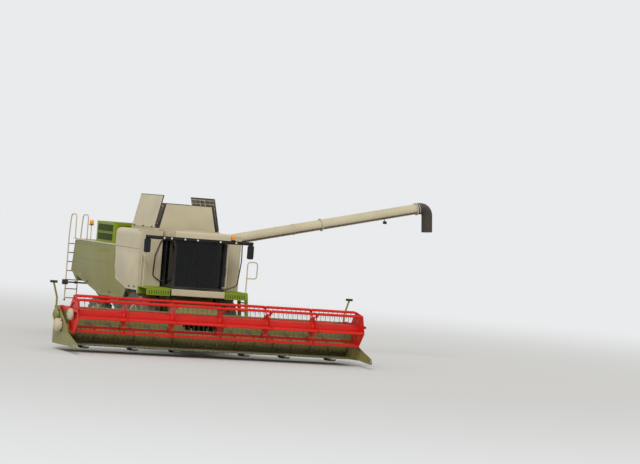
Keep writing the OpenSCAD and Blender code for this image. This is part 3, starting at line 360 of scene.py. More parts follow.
class Shape:
    """One piece under construction, shaped by bmesh operators and dressed in one finish."""

    def __init__(self) -> None:
        """Starts an empty mesh."""
        self.mesh = bmesh.new()

    def soften(self, verts: list[bmesh.types.BMVert], width: float) -> "Shape":
        """Rounds the sharp edges between the given vertices.

        Args:
            verts: The vertices of the form to soften.
            width: The rounding's size; none at 0.

        Returns:
            The shape itself.
        """
        if width > 0:
            edges = {edge for vert in verts for edge in vert.link_edges if edge.calc_face_angle(0) > FLAT}
            bmesh.ops.bevel(self.mesh, geom=list(edges), offset=width, offset_type="OFFSET", segments=2,
                            profile=0.5, affect="EDGES", material=-1, clamp_overlap=True)
        return self

    def box(self, start: Point, end: Point, edge: float = 0.0, lean_deg: float = 0.0) -> "Shape":
        """Adds a block between two opposite corners.

        Args:
            start: One corner.
            end: The corner across from it.
            edge: Size of the edges' rounding.
            lean_deg: Its turn about its middle, round X.

        Returns:
            The shape itself.
        """
        start, end = spot(start), spot(end)
        verts = bmesh.ops.create_cube(self.mesh, size=1)["verts"]
        bmesh.ops.scale(self.mesh, vec=[abs(size) for size in end - start], verts=verts)
        if lean_deg:
            turn = Matrix.Rotation(math.radians(lean_deg), 4, "X")
            bmesh.ops.rotate(self.mesh, cent=(0, 0, 0), matrix=turn, verts=verts)
        bmesh.ops.translate(self.mesh, vec=(start + end) / 2, verts=verts)
        return self.soften(verts, edge)

    def pad(self, middle: Point, half: Triple, edge: float = 0.0, lean_deg: float = 0.0) -> "Shape":
        """Adds a block about its middle, given half its size; the rest is as for box."""
        middle, half = spot(middle), Vector(half)
        return self.box(middle - half, middle + half, edge, lean_deg)

    def rod(self, start: Point, end: Point, radius: float, tip: float | None = None, sides: int = 16,
            edge: float = 0.0) -> "Shape":
        """Adds a straight round bar or cone.

        Args:
            start: The middle of its first end.
            end: The middle of its other end.
            radius: Its radius at the start.
            tip: Its radius at the end, if that differs.
            sides: Flats round it.
            edge: Size of the edges' rounding.

        Returns:
            The shape itself.
        """
        start, end = spot(start), spot(end)
        lay = (end - start).to_track_quat("Z", "Y").to_matrix().to_4x4()
        made = bmesh.ops.create_cone(
            self.mesh, cap_ends=True, segments=sides, radius1=radius, radius2=radius if tip is None else tip,
            depth=(end - start).length, matrix=Matrix.Translation((start + end) / 2) @ lay)
        return self.soften(made["verts"], edge)

    def rods(self, corners: list[Point], radius: float) -> "Shape":
        """Adds thin straight bars round a closed outline.

        Args:
            corners: The outline's corners.
            radius: The bars' radius.

        Returns:
            The shape itself.
        """
        for start, end in zip(corners, corners[1:] + corners[:1]):
            self.rod(start, end, radius, sides=8)
        return self

    def tube(self, path: Iterable[Point], radius: float, sides: int = 10) -> "Shape":
        """Adds a bent bar that follows a path.

        Args:
            path: The points it runs through.
            radius: The bar's radius.
            sides: Flats round it.

        Returns:
            The shape itself.
        """
        points = [spot(point) for point in path]
        ways = [(b - a).normalized() for a, b in zip(points, points[1:])]
        ways = [ways[0]] + [(a + b).normalized() for a, b in zip(ways, ways[1:])] + [ways[-1]]
        turn = ways[0].to_track_quat("Z", "Y")
        places = [Matrix.Translation(points[0]) @ turn.to_matrix().to_4x4()]
        for before, way, point in zip(ways, ways[1:], points[1:]):
            turn = before.rotation_difference(way) @ turn
            places.append(Matrix.Translation(point) @ turn.to_matrix().to_4x4())
        ring = bmesh.ops.create_circle(self.mesh, cap_ends=True, segments=sides, radius=radius,
                                       matrix=places[0])
        edges = list({edge for vert in ring["verts"] for edge in vert.link_edges})
        for before, after in zip(places, places[1:]):
            grown = bmesh.ops.extrude_edge_only(self.mesh, edges=edges)["geom"]
            verts = {item for item in grown if isinstance(item, bmesh.types.BMVert)}
            edges = [item for item in grown
                     if isinstance(item, bmesh.types.BMEdge) and verts.issuperset(item.verts)]
            bmesh.ops.transform(self.mesh, matrix=after @ before.inverted(), verts=list(verts))
        bmesh.ops.contextual_create(self.mesh, geom=edges)
        return self

    def lathe(self, profile: list[tuple[float, float]], centre: Point, axis: Point,
              steps: int = 32) -> "Shape":
        """Turns a profile round an axis.

        Args:
            profile: Points of the profile, each its radius and its place along the axis.
            centre: A point on the axis, from which the places count.
            axis: The axis's direction.
            steps: Facets round the shape.

        Returns:
            The shape itself.
        """
        lay = Matrix.Translation(spot(centre)) @ Vector(axis).to_track_quat("Z", "Y").to_matrix().to_4x4()
        verts = [self.mesh.verts.new(lay @ Vector((radius, 0, along))) for radius, along in profile]
        edges = [self.mesh.edges.new(pair) for pair in zip(verts, verts[1:])]
        bmesh.ops.spin(self.mesh, geom=verts + edges, cent=lay.translation, axis=lay.col[2].to_3d(),
                       angle=2 * math.pi, steps=steps, use_merge=True, dvec=(0, 0, 0))
        bmesh.ops.remove_doubles(self.mesh, verts=self.mesh.verts[:], dist=MERGE)
        return self

    def plate(self, outline: Iterable[Point], through: Point, edge: float = 0.0) -> "Shape":
        """Adds a flat plate from its outline.

        Args:
            outline: The corners of one face, in order.
            through: The way and the length from that face to the other.
            edge: Size of the edges' rounding.

        Returns:
            The shape itself.
        """
        verts = [self.mesh.verts.new(spot(point)) for point in outline]
        face = self.mesh.faces.new(verts)
        grown = bmesh.ops.extrude_face_region(self.mesh, geom=[face], use_keep_orig=True)["geom"]
        lifted = [item for item in grown if isinstance(item, bmesh.types.BMVert)]
        bmesh.ops.translate(self.mesh, vec=through, verts=lifted)
        return self.soften(verts + lifted, edge)

    def screw(self, start: Vector, radii: tuple[float, float], pitch: float, turns: float, thickness: float,
              hand: int = 1, steps: int = 36) -> "Shape":
        """Adds a helical flight round an axis along X.

        Args:
            start: The middle of the flight's start.
            radii: The flight's inner and outer radius.
            pitch: Its advance along X in one turn.
            turns: How many turns it makes.
            thickness: The sheet's thickness.
            hand: 1 or -1, the way it winds.
            steps: Chords in one turn.

        Returns:
            The shape itself.
        """
        ends = [self.mesh.verts.new(start + spoke(0, radius)) for radius in radii]
        edge = self.mesh.edges.new(ends)
        count = round(turns * steps)
        bmesh.ops.spin(self.mesh, geom=ends + [edge], cent=start, axis=LEFT,
                       dvec=(pitch * turns / count, 0, 0), angle=hand * 2 * math.pi * turns, steps=count)
        grown = sheet = {face for vert in ends for face in vert.link_faces}
        while grown:
            grown = {other for face in grown for rim in face.edges for other in rim.link_faces} - sheet
            sheet = sheet | grown
        bmesh.ops.solidify(self.mesh, geom=list(sheet), thickness=thickness)
        return self

    def stamp(self, pattern: "Shape", places: Iterable[Point | Matrix]) -> "Shape":
        """Adds a copy of another shape at each place.

        Args:
            pattern: The shape that is copied.
            places: Where each copy goes.

        Returns:
            The shape itself.
        """
        data = bpy.data.meshes.new("pattern")
        pattern.mesh.to_mesh(data)
        for place in places:
            copy = data.copy()
            copy.transform(place if isinstance(place, Matrix) else Matrix.Translation(spot(place)))
            self.mesh.from_mesh(copy)
            bpy.data.meshes.remove(copy)
        bpy.data.meshes.remove(data)
        return self

    def close(self, name: str, finish: Finish, body: str = "chassis", smooth_deg: float = 35) -> Object:
        """Closes the piece, dresses it and lets it ride on its body.

        Args:
            name: The piece's name.
            finish: Its finish.
            body: The body that carries it.
            smooth_deg: Edges sharper than this stay sharp.

        Returns:
            The finished object.
        """
        bmesh.ops.remove_doubles(self.mesh, verts=self.mesh.verts, dist=MERGE)
        bmesh.ops.recalc_face_normals(self.mesh, faces=self.mesh.faces)
        data = bpy.data.meshes.new(name)
        self.mesh.to_mesh(data)
        self.mesh.free()
        data.shade_smooth()
        data.set_sharp_from_angle(angle=math.radians(smooth_deg))
        piece = bpy.data.objects.new(name, data)
        bpy.context.scene.collection.objects.link(piece)
        dress(piece, finish)
        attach(piece, body)
        LOG.info("built %s on %s: %d faces", name, body, len(data.polygons))
        return piece


def bolts(name: str, places: Iterable[Point], out: Vector, radius: float, body: str = "chassis",
          finish: Finish = ZINC) -> None:
    """Builds hexagon bolt heads on washers.

    Args:
        name: The piece's name.
        places: The middle of each head's seat.
        out: The way the heads point.
        radius: The radius over a head's corners.
        body: The body that carries them.
        finish: Their finish.
    """
    way = out * radius
    one = Shape().rod(Vector(), way * 0.2, 1.5 * radius)
    one.rod(way * 0.2, way * 0.9, radius, sides=6, edge=0.1 * radius)
    Shape().stamp(one, places).close(name, finish, body)


@dataclass
class Reel:
    """Tines, bat clamps and hub flanges of the reel."""

    bats: int = 6
    bays: int = 6
    radius: float = 0.525
    bat_radius: float = 0.03
    collar_radius: float = 0.046
    phase_deg: float = -10.0
    tube_radius: float = 0.135
    bolt_circle: float = 0.188

    def __post_init__(self) -> None:
        """Takes the reel's axis, its length and the places of its stars from the frame."""
        low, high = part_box("reel_rotor")
        self.middle = (low + high) / 2
        first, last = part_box("reel_bat_1")
        self.half = (last.x - first.x) / 2 - 0.02
        bay = 2 * self.half / self.bays
        self.stars = [self.middle.x - self.half + i * bay for i in range(1, self.bays)]

    def bat(self, index: int) -> None:
        """Darkens one bat's tines and clips its strip and collars to it.

        Args:
            index: The bat's number, from 0.
        """
        name = f"reel_bat_{index + 1}"
        turn = math.radians(90 - self.phase_deg - index * 360 / self.bats)
        axis = self.middle + spoke(turn, self.radius)
        paint_part(name, TINE, lambda c: c.z < axis.z - self.bat_radius - 0.004 and abs(c.x) < self.half)
        strip = Shape()
        reach = self.half + 0.01
        places = [self.middle.x - reach, *self.stars, self.middle.x + reach]
        for first, last in zip(places, places[1:]):
            strip.box(Vector((first + 0.046, axis.y + 0.004, axis.z + 0.012)),
                      Vector((last - 0.046, axis.y + 0.018, axis.z + 0.05)), 0.003)
        for x in (x + side for x in self.stars for side in (-0.03, 0.03)):
            inner, outer, half = self.bat_radius, self.collar_radius, 0.012
            strip.lathe([(inner, -half), (outer, -half), (outer, half), (inner, half)],
                        Vector((x, axis.y, axis.z)), LEFT, 20)
        strip.close(f"bat_strip_{index + 1}", RED, name)

    def build(self) -> None:
        """Dresses the bats and adds the bolted flanges that clamp the stars to the tube."""
        for index in range(self.bats):
            self.bat(index)
        flanges, heads = Shape(), []
        profile = [(self.tube_radius, 0), (0.215, 0), (0.215, 0.008), (0.16, 0.014), (0.15, 0.05),
                   (self.tube_radius, 0.05)]
        for x in self.stars:
            hub = Vector((x, self.middle.y, self.middle.z))
            for side in (-1, 1):
                flanges.lathe(profile, hub + LEFT * side * 0.006, LEFT * side, 36)
            heads += [hub + LEFT * 0.014 + spoke(math.radians(30 * i), self.bolt_circle)
                      for i in range(12)]
        flanges.close("star_flanges", RED, "reel_rotor")
        bolts("star_bolts", heads, LEFT, 0.011, "reel_rotor")


@dataclass
class TableAuger:
    """The table auger as rolled: its tube, thin flights and fingers."""

    tube_radius: float = 0.2
    flight_radius: float = 0.298
    shaft_radius: float = 0.045
    pitch: float = 0.6
    inner: float = 0.7
    flight_thickness: float = 0.006
    finger_pitch: float = 0.15

    def build(self) -> None:
        """Builds the auger in place of its plain node."""
        low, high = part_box("table_auger")
        middle, r, shaft = (low + high) / 2, self.tube_radius, self.shaft_radius
        half = (high.x - low.x) / 2
        end = half - 0.02
        profile = [(shaft, -half), (shaft, -end), (r, -end), (r, end), (shaft, end), (shaft, half)]
        drum = Shape().lathe(profile, middle, LEFT, 64)
        for x in (-self.inner, self.inner, -2.4, 2.4):
            drum.lathe([(r, -0.03), (r + 0.008, -0.03), (r + 0.008, 0.03), (r, 0.03)],
                       middle + LEFT * x, LEFT, 64)
        drum.close("auger_drum", OLIVE, "table_auger")
        flights = Shape()
        for side in (-1, 1):
            flights.screw(middle + LEFT * side * self.inner, (r - 0.004, self.flight_radius),
                          side * self.pitch, (end - self.inner) / self.pitch, self.flight_thickness, side)
        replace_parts(flights.close("auger_flights", WORN, "table_auger"), "table_auger")
        fingers = Shape()
        for i, turn in ((i, turn) for i in range(-4, 5) for turn in (0, 180)):
            way = spoke(math.radians(i * 70 + turn))
            foot = middle + LEFT * i * self.finger_pitch
            fingers.rod(foot + way * (r - 0.01), foot + way * (r + 0.012), 0.026, 0.02)
            fingers.rod(foot + way * r, foot + way * self.flight_radius, 0.008, sides=12, edge=0.002)
        fingers.close("auger_fingers", STEEL, "table_auger")


@dataclass
class Wheel:
    """Bolts, hub cap, valve and tyre mouldings of one wheel."""

    axle: str
    name: str
    side: int
    bead_radius: float
    disc_offset: float
    hub_radius: float
    nuts: int
    cap_length: float

    def build(self) -> None:
        """Dresses the wheel."""
        low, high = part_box(f"{self.axle}_tyre_{self.name}")
        node, body = f"{self.axle}_rim_{self.name}", f"{self.axle}_wheel_{self.name}"
        middle, half, r = (low + high) / 2, (high.x - low.x) / 2, self.hub_radius
        wall = (high.z - low.z) / 2 - self.bead_radius
        out = LEFT * self.side
        seat = middle + out * self.disc_offset
        ring = [seat + out * 0.005 + spoke(2 * math.pi * i / self.nuts, r + 0.05) for i in range(self.nuts)]
        bolts(f"{node}_nuts", ring, out, 0.018, body)
        cap = self.cap_length
        hub = Shape().lathe([(0.0, cap), (0.55 * r, cap), (0.62 * r, cap - 0.008), (0.66 * r, 0.062),
                             (0.9 * r, 0.058), (0.97 * r, 0.05), (0.97 * r, 0.0)], seat, out, 40)
        for i in range(8):
            screw = seat + spoke(math.pi * i / 4, 0.8 * r)
            hub.rod(screw + out * 0.055, screw + out * 0.068, 0.009, sides=6)
        hub.close(f"{node}_hub", IRON, body)
        foot = seat + spoke(0.4, self.bead_radius - 0.03) + out * 0.02
        tip = foot + out * 0.05
        valve = Shape().rod(foot, tip, 0.006).rod(tip, tip + out * 0.015, 0.008, 0.006)
        valve.close(f"{node}_valve", RUBBER_TRIM, body)
        mould = Shape()
        for way in (-1, 1):
            for share, width, swell in ((0.16, 0.010, 0.932), (0.3, 0.006, 0.96), (0.62, 0.008, 0.985)):
                inner, outer = (self.bead_radius + share * wall + edge for edge in (-width, width))
                low, high = half * swell - 0.012, half * swell + 0.003
                mould.lathe([(inner, low), (inner, high), (outer, high), (outer, low)], middle,
                            LEFT * way, 72)
        mould.close(f"{node}_sidewall", TYRE, body)


@dataclass
class Lamps:
    """Lenses, bezels, reflectors and seats of the lamps and beacons."""

    screen_x: tuple[float, ...] = (-1.22, -1.01, -0.61, -0.22, 0.52, 1.07)
    bow_radius: float = 4.0
    bow_middle: float = 2.34
    height: float = 3.4375

    def build(self) -> None:
        """Dresses the visor's lamps, both beacons and the tail lamps."""
        paint_part("lamps", PLASTIC, lambda c: c.z < 3.47 and c.y < 0)
        paint_part("lamps", AMBER, lambda c: c.z > 3.53)
        paint_part("lamps", CREAM, lambda c: c.z < 3.56 and c.y > 3)
        bezels, lenses = Shape(), Shape()
        for x in self.screen_x:
            face = (x, self.bow_middle - math.sqrt(self.bow_radius ** 2 - x * x) - 0.02, self.height)
            bezels.lathe([(0.030, 0.0), (0.030, 0.008), (0.034, 0.011), (0.0375, 0.008), (0.0375, -0.002)],
                         face, -BACK, 28)
            lenses.lathe([(0.0, 0.010), (0.016, 0.009), (0.028, 0.005), (0.0305, -0.001)], face, -BACK, 28)
        bezels.close("lamp_bezels", PLASTIC)
        lenses.close("lamp_lenses", LENS)
        domes, seats = Shape(), Shape()
        for place in ((0.975, -1.488, 3.4905), (-1.23, 5.9, 3.545)):
            seats.lathe([(0.0, 0.0), (0.072, 0.0), (0.075, 0.004), (0.075, 0.026), (0.068, 0.034),
                         (0.0, 0.034)], place, UP, 36)
            domes.lathe([(0.0, 0.032), (0.068, 0.032), (0.07, 0.08), (0.068, 0.125), (0.058, 0.155),
                         (0.036, 0.174), (0.012, 0.18), (0.0, 0.18)], place, UP, 36)
        seats.close("beacon_seats", PLASTIC)
        domes.close("beacon_domes", AMBER)
        tail, spots = Shape(), Shape()
        for side in (-1, 1):
            for z in (1.655, 1.59):
                tail.pad((side * 1.865, 6.335, z), (0.075, 0.006, 0.025), 0.004)
            spots.lathe([(0.0, 0.008), (0.03, 0.006), (0.04, 0.0)], (side * 1.5, 6.345, 1.615), BACK, 28)
        tail.close("tail_lenses", TAIL_RED)
        spots.close("tail_spots", AMBER)


@dataclass
class Unloader:
    """Bolts, clamps and lamp of the unloading tube, and the ribs of its spout."""

    radius: float = 0.165
    length: float = 6.84
    rise: float = math.radians(12.7)
    pivot: Triple = (1.32, 0.6, 3.41)
    bend: float = 0.23
    spout_turn_deg: int = 98
    pipe_turn: float = math.radians(212)

    def __post_init__(self) -> None:
        """Sets the tube's own directions: along it, level across it and up from it."""
        self.way = Vector((math.cos(self.rise), 0, math.sin(self.rise)))
        self.flat = BACK
        self.lift = self.way.cross(self.flat)

    def along(self, distance: float, out: float = 0.0, turn: float = 0.0) -> Vector:
        """Returns a point at a distance along the tube's middle line, or out from it at a turn."""
        aside = self.flat * math.cos(turn) + self.lift * math.sin(turn)
        return at(*self.pivot) + self.way * distance + aside * out

    def build(self) -> None:
        """Dresses the tube and the spout."""
        r, way = self.radius, self.way
        heads = [self.along(place - 0.016, r + 0.02, 2 * math.pi * (i + 0.5) / 16)
                 for place in (0.505 * self.length, self.length - 0.016) for i in range(16)]
        one = Shape().rod(Vector(), way * -0.004, 0.015).rod(way * -0.004, way * -0.014, 0.01, sides=6)
        Shape().stamp(one, heads).close("tube_bolts", ZINC, "unloader")
        seams = Shape()
        for place in (1.2, 1.9, 4.3, 5.4):
            seams.lathe([(r - 0.002, -0.02), (r + 0.004, -0.018), (r + 0.004, 0.018), (r - 0.002, 0.02)],
                        self.along(place), way, 48)
        seams.close("tube_bands", CREAM, "unloader")
        pipes = Shape()
        for offset in (0.0, 0.035):
            pipes.rod(*(self.along(place, r + 0.014, self.pipe_turn + offset / r)
                        for place in (0.45, self.length - 0.05)), 0.008, sides=10)
        for place in (0.8, 2.1, 4.0, 5.9):
            hold = self.along(place, r + 0.008, self.pipe_turn + 0.0175 / r)
            pipes.pad(hold, (0.02, 0.035, 0.018), 0.004)
        pipes.close("tube_pipes", PLASTIC, "unloader")
        foot = self.along(0.83 * self.length) - self.lift * (r + 0.002)
        lamp = foot - self.lift * 0.1
        Shape().rod(foot, foot - self.lift * 0.06, 0.012).pad(lamp, (0.05, 0.05, 0.045), 0.01).close(
            "tube_lamp", PLASTIC, "unloader")
        glass = lamp + Vector((0.045, 0, -0.01))
        lens = Shape().rod(glass, glass + Vector((0.013, 0, -0.002)), 0.038, 0.032, 24)
        lens.close("tube_lamp_lens", LENS, "unloader")
        self.spout()

    def spout(self) -> None:
        """Adds the moulded ribs round the spout's bend, and the clamp that holds it."""
        way, down, r = self.way, -self.lift, self.radius + 0.006
        middle = self.along(self.length + 0.119) + down * self.bend
        ribs = Shape()
        profile = [(r - 0.01, -0.012), (r + 0.006, -0.010), (r + 0.009, 0.0), (r + 0.006, 0.010),
                   (r - 0.01, 0.012)]
        for turn in (math.radians(degrees) for degrees in range(8, self.spout_turn_deg + 1, 10)):
            c, s = math.cos(turn), math.sin(turn)
            ribs.lathe(profile, middle + (way * s - down * c) * self.bend, way * c + down * s, 40)
        ribs.close("spout_ribs", SPOUT, "unloader")
        clamp = self.along(self.length + 0.06)
        profile = [(r + 0.014, -0.015), (r + 0.019, -0.014), (r + 0.019, 0.014), (r + 0.014, 0.015)]
        band = Shape().lathe(profile, clamp, way, 48)
        screw = clamp + self.flat * (r + 0.03)
        band.rod(screw - down * 0.03, screw + down * 0.03, 0.007).close("spout_clamp", ZINC, "unloader")


@dataclass
class Header:
    """Knife, wear plates, drives, dividers and lamps of the grain header."""

    half: float = 4.56
    wall: float = 0.06
    knife_y: float = -3.30
    knife_z: float = 0.23
    back_y: float = -2.11
    beam_z: float = 1.26
    pitch: float = 0.0762
    guard_pitch: float = 0.152

    def knife(self) -> None:
        """Builds the knife's sections on their bar and the guards' pointed noses."""
        half, y, z = self.half, self.knife_y, self.knife_z
        section = Shape().plate([Vector((x, y, 0)) for x, y in (
            (-0.037, 0), (0.037, 0), (0.034, -0.022), (0.007, -0.078), (-0.007, -0.078), (-0.034, -0.022))],
            (0, 0, 0.003), 0.001)
        blades = Shape().stamp(section, [(self.pitch * (i + 1) - half, y + 0.055, z + 0.006)
                                         for i in range(int(2 * half / self.pitch) - 1)])
        blades.box((0.03 - half, y + 0.045, z + 0.009), (half - 0.03, y + 0.067, z + 0.016), 0.001)
        blades.close("knife_sections", STEEL, "header")
        nose = Shape().rod(Vector((0.013, -0.025, 0)), Vector((0.013, -0.095, -0.006)), 0.013, 0.003, 12)
        nose.box(Vector((0.004, -0.02, 0.008)), Vector((0.022, 0.11, 0.022)), 0.003)
        guards = [(0.1 - half + i * self.guard_pitch, y, z - 0.009) for i in range(60)]
        Shape().stamp(nose, guards).close("guard_noses", IRON, "header")

    def table(self) -> None:
        """Adds wear sheet, back wall ribs, beam joint plates and skid shoes, with their bolts."""
        half, back, low, z = self.half, self.back_y, self.knife_y + 0.125, self.knife_z
        Shape().plate([(0.01 - half, low, z + 0.009), (0.01 - half, low + 0.325, 0.238),
                       (0.01 - half, low + 0.325, 0.234), (0.01 - half, low, z + 0.005)],
                      (2 * half - 0.02, 0, 0), 0.0005).close("table_wear_sheet", WORN, "header")
        bolts("wear_sheet_bolts", [(0.06 - half + i * 0.19, low + 0.03, z + 0.009) for i in range(48)],
              UP, 0.009, "header", STEEL)
        ribs = Shape()
        for i in range(-7, 8):
            if abs(i) > 1:
                ribs.pad((i * 0.62, back - 0.028, 1.035), (0.03, 0.006, 0.105), 0.004)
            ribs.pad((i * 0.62, back + 0.045, 1.095), (0.006, 0.045, 0.055), 0.002)
        for side in (-1, 1):
            ribs.box((side * (half - 0.05), back - 0.03, 0.985), (side * 0.85, back - 0.022, 1.03), 0.004)
        ribs.close("back_wall_ribs", OLIVE, "header")
        seams, joints = Shape(), (-3.0, -1.5, 0.0, 1.5, 3.0)
        for x in joints:
            seams.box((x - 0.05, back - 0.034, self.beam_z - 0.105),
                      (x + 0.05, back + 0.104, self.beam_z + 0.004), 0.003)
        seams.close("beam_joint_plates", OLIVE, "header")
        heads = [(x + aside, back - 0.034, self.beam_z - down)
                 for x in joints for aside in (-0.035, 0.035) for down in (0.02, 0.08)]
        bolts("beam_bolts", heads, -BACK, 0.01, "header")
        shoes = Shape()
        under = [(-3.10, 0.17), (-3.06, 0.125), (-2.96, 0.105), (-2.62, 0.1), (-2.54, 0.125), (-2.5, 0.17)]
        sole = under + [(y, z + 0.008) for y, z in under[::-1]]
        for x in (-3.9, -2.4, -1.1, 1.1, 2.4, 3.9):
            shoes.plate([(x - 0.09, *point) for point in sole], (0.18, 0, 0), 0.002)
            shoes.box((x - 0.012, -2.98, 0.11), (x + 0.012, -2.6, 0.172), 0.002)
        shoes.close("skid_shoes", STEEL, "header")

    def dome(self, out: float, radius: float, foot: Triple) -> Shape:
        """Starts a round pressed cover that stands out to the right, closed on its back.

        Args:
            out: How far it stands out.
            radius: Its radius.
            foot: The middle of its back.

        Returns:
            The shape.
        """
        steps = [(0.0, 0.0), (0.06, 0.002), (0.3 * radius, 0.006), (0.3 * radius + 0.006, 0.014),
                 (radius * 0.75, 0.03), (radius * 0.92, 0.055), (radius, 0.09), (radius, out)]
        return Shape().lathe([(r, out - deep) for r, deep in steps] + [(0.0, 0.0)], foot, -LEFT, 48)

    def drives(self) -> None:
        """Builds the round covers at the right end and the knife's gear case at the left."""
        x, end, y = -self.half - self.wall, self.half + self.wall, -3.12
        upper, lower = (-2.41, 1.02), (self.knife_y + 0.52, 0.74)
        self.dome(0.15, 0.18, (x, *upper)).close("drive_dome_upper", OLIVE, "header", 30)
        cover = self.dome(0.22, 0.19, (x, *lower)).close("drive_domes", CREAM, "header", 30)
        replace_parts(cover, "drive_covers")
        cover = self.dome(0.13, 0.17, (0.041 - self.half, -3.42, 1.1))
        cover.close("reel_motor_cover", CREAM, "reel_carriages", 30)
        rims = Shape()
        for radius, middle in ((0.19, lower), (0.18, upper)):
            inner, outer = radius - 0.002, radius + 0.006
            rims.lathe([(inner, 0), (outer, 0), (outer, 0.02), (inner, 0.022)], (x, *middle), -LEFT, 48)
            for i in range(4):
                clip = at(x - 0.03, *middle) + spoke(math.radians(45 + 90 * i), radius + 0.004)
                rims.pad(clip, (0.024, 0.02, 0.02), 0.006)
        rims.close("dome_clips", PLASTIC, "header")
        case = Shape().box((end, -3.24, 0.2), (end + 0.13, -3.0, 0.46), 0.03)
        case.rod((end + 0.06, y, 0.46), (end + 0.06, y, 0.5), 0.07, 0.06, 28, 0.005)
        case.rod((end, y, 0.33), (end + 0.155, y, 0.33), 0.085, 0.075, 32, 0.006)
        case.rod((end + 0.06, -2.99, 0.4), (end + 0.06, -2.42, 0.62), 0.028, sides=20)
        case.close("knife_gear_case", IRON, "header")
        guard = Shape().box((end, -2.62, 0.4), (end + 0.14, -2.16, 1.12), 0.05)
        guard.close("drive_guard_left", OLIVE, "header")
        bolts("drive_guard_bolts", [(end + 0.14, y, z) for y in (-2.56, -2.22) for z in (0.46, 1.06)],
              LEFT, 0.012, "header")

    def ends(self) -> None:
        """Rounds off the dividers and adds their rails, the end walls' bolts and the markers' reflectors."""
        rails, tips, boards, amber, clear = (Shape() for _ in range(5))
        for side in (-1, 1):
            x = side * (self.half + self.wall / 2)
            upper = ((-4.32, 0.31), (-3.36, 0.575), (-3.22, 0.74), (-2.37, 1.235), (-2.03, 1.262))
            lower = ((-4.33, 0.17), (-4.0, 0.19), (-3.36, 0.215), (-2.2, 0.19))
            rails.tube(rounded([(x, *point) for point in upper], 0.08), 0.018, 12)
            rails.tube(rounded([(x, *point) for point in lower], 0.1), 0.014, 10)
            tips.lathe([(0.0, 0.0), (0.012, 0.004), (0.03, 0.04), (0.046, 0.12), (0.052, 0.2), (0.046, 0.205),
                        (0.0, 0.205)], (x, -4.378, 0.205), (0, 1, 0.22), 24)
            x, y, z = side * (self.half + 0.16), self.back_y + 0.04, 1.953
            boards.pad((x, y, z), (0.11, 0.03, 0.036), 0.012)
            amber.box((x - 0.095, y + 0.028, z - 0.024), (x - 0.01, y + 0.034, z + 0.024), 0.004)
            clear.box((x + 0.01, y + 0.028, z - 0.024), (x + 0.095, y + 0.034, z + 0.024), 0.004)
        rails.close("divider_rails", OLIVE, "header")
        tips.close("divider_tips", STEEL, "header")
        boards.close("marker_caps", PLASTIC, "header")
        amber.close("marker_reflectors", AMBER, "header")
        clear.close("marker_lenses", LENS, "header")
        both = ((-3.5, 0.26), (-3.7, 0.28), (-3.9, 0.27), (-3.44, 0.48), (-2.3, 0.3), (-2.7, 0.3))
        for side, name in SIDES:
            rest = ((-3.0, 0.62), (-2.8, 0.8)) if side > 0 else ((-3.2, 0.4), (-2.9, 0.3))
            heads = [(side * (self.half + self.wall), *place) for place in both + rest]
            bolts(f"end_wall_bolts_{name}", heads, LEFT * side, 0.012, "header")

    def feeder(self) -> None:
        """Adds the feeder house's stiffening ribs and top covers."""
        ribs = Shape()
        for side in (-1, 1):
            for y, low, high in ((-1.86, 0.42, 0.98), (-1.4, 0.52, 1.22), (-0.95, 0.92, 1.5)):
                ribs.box((side * 0.7, y - 0.025, low), (side * 0.718, y + 0.025, high), 0.004)
        ribs.close("feeder_ribs", OLIVE, "header")
        cover, run, climb = Shape(), 1.554, 0.8
        for share in (0.2, 0.5, 0.8):
            cover.pad((0, share * run - 2.074, 0.986 + share * climb), (0.6, 0.19, 0.007), 0.004,
                      math.degrees(math.atan2(climb, run)))
        cover.close("feeder_lids", OLIVE, "header")

    def build(self) -> None:
        """Builds every part of the header's dress."""
        self.knife()
        self.table()
        self.drives()
        self.ends()
        self.feeder()


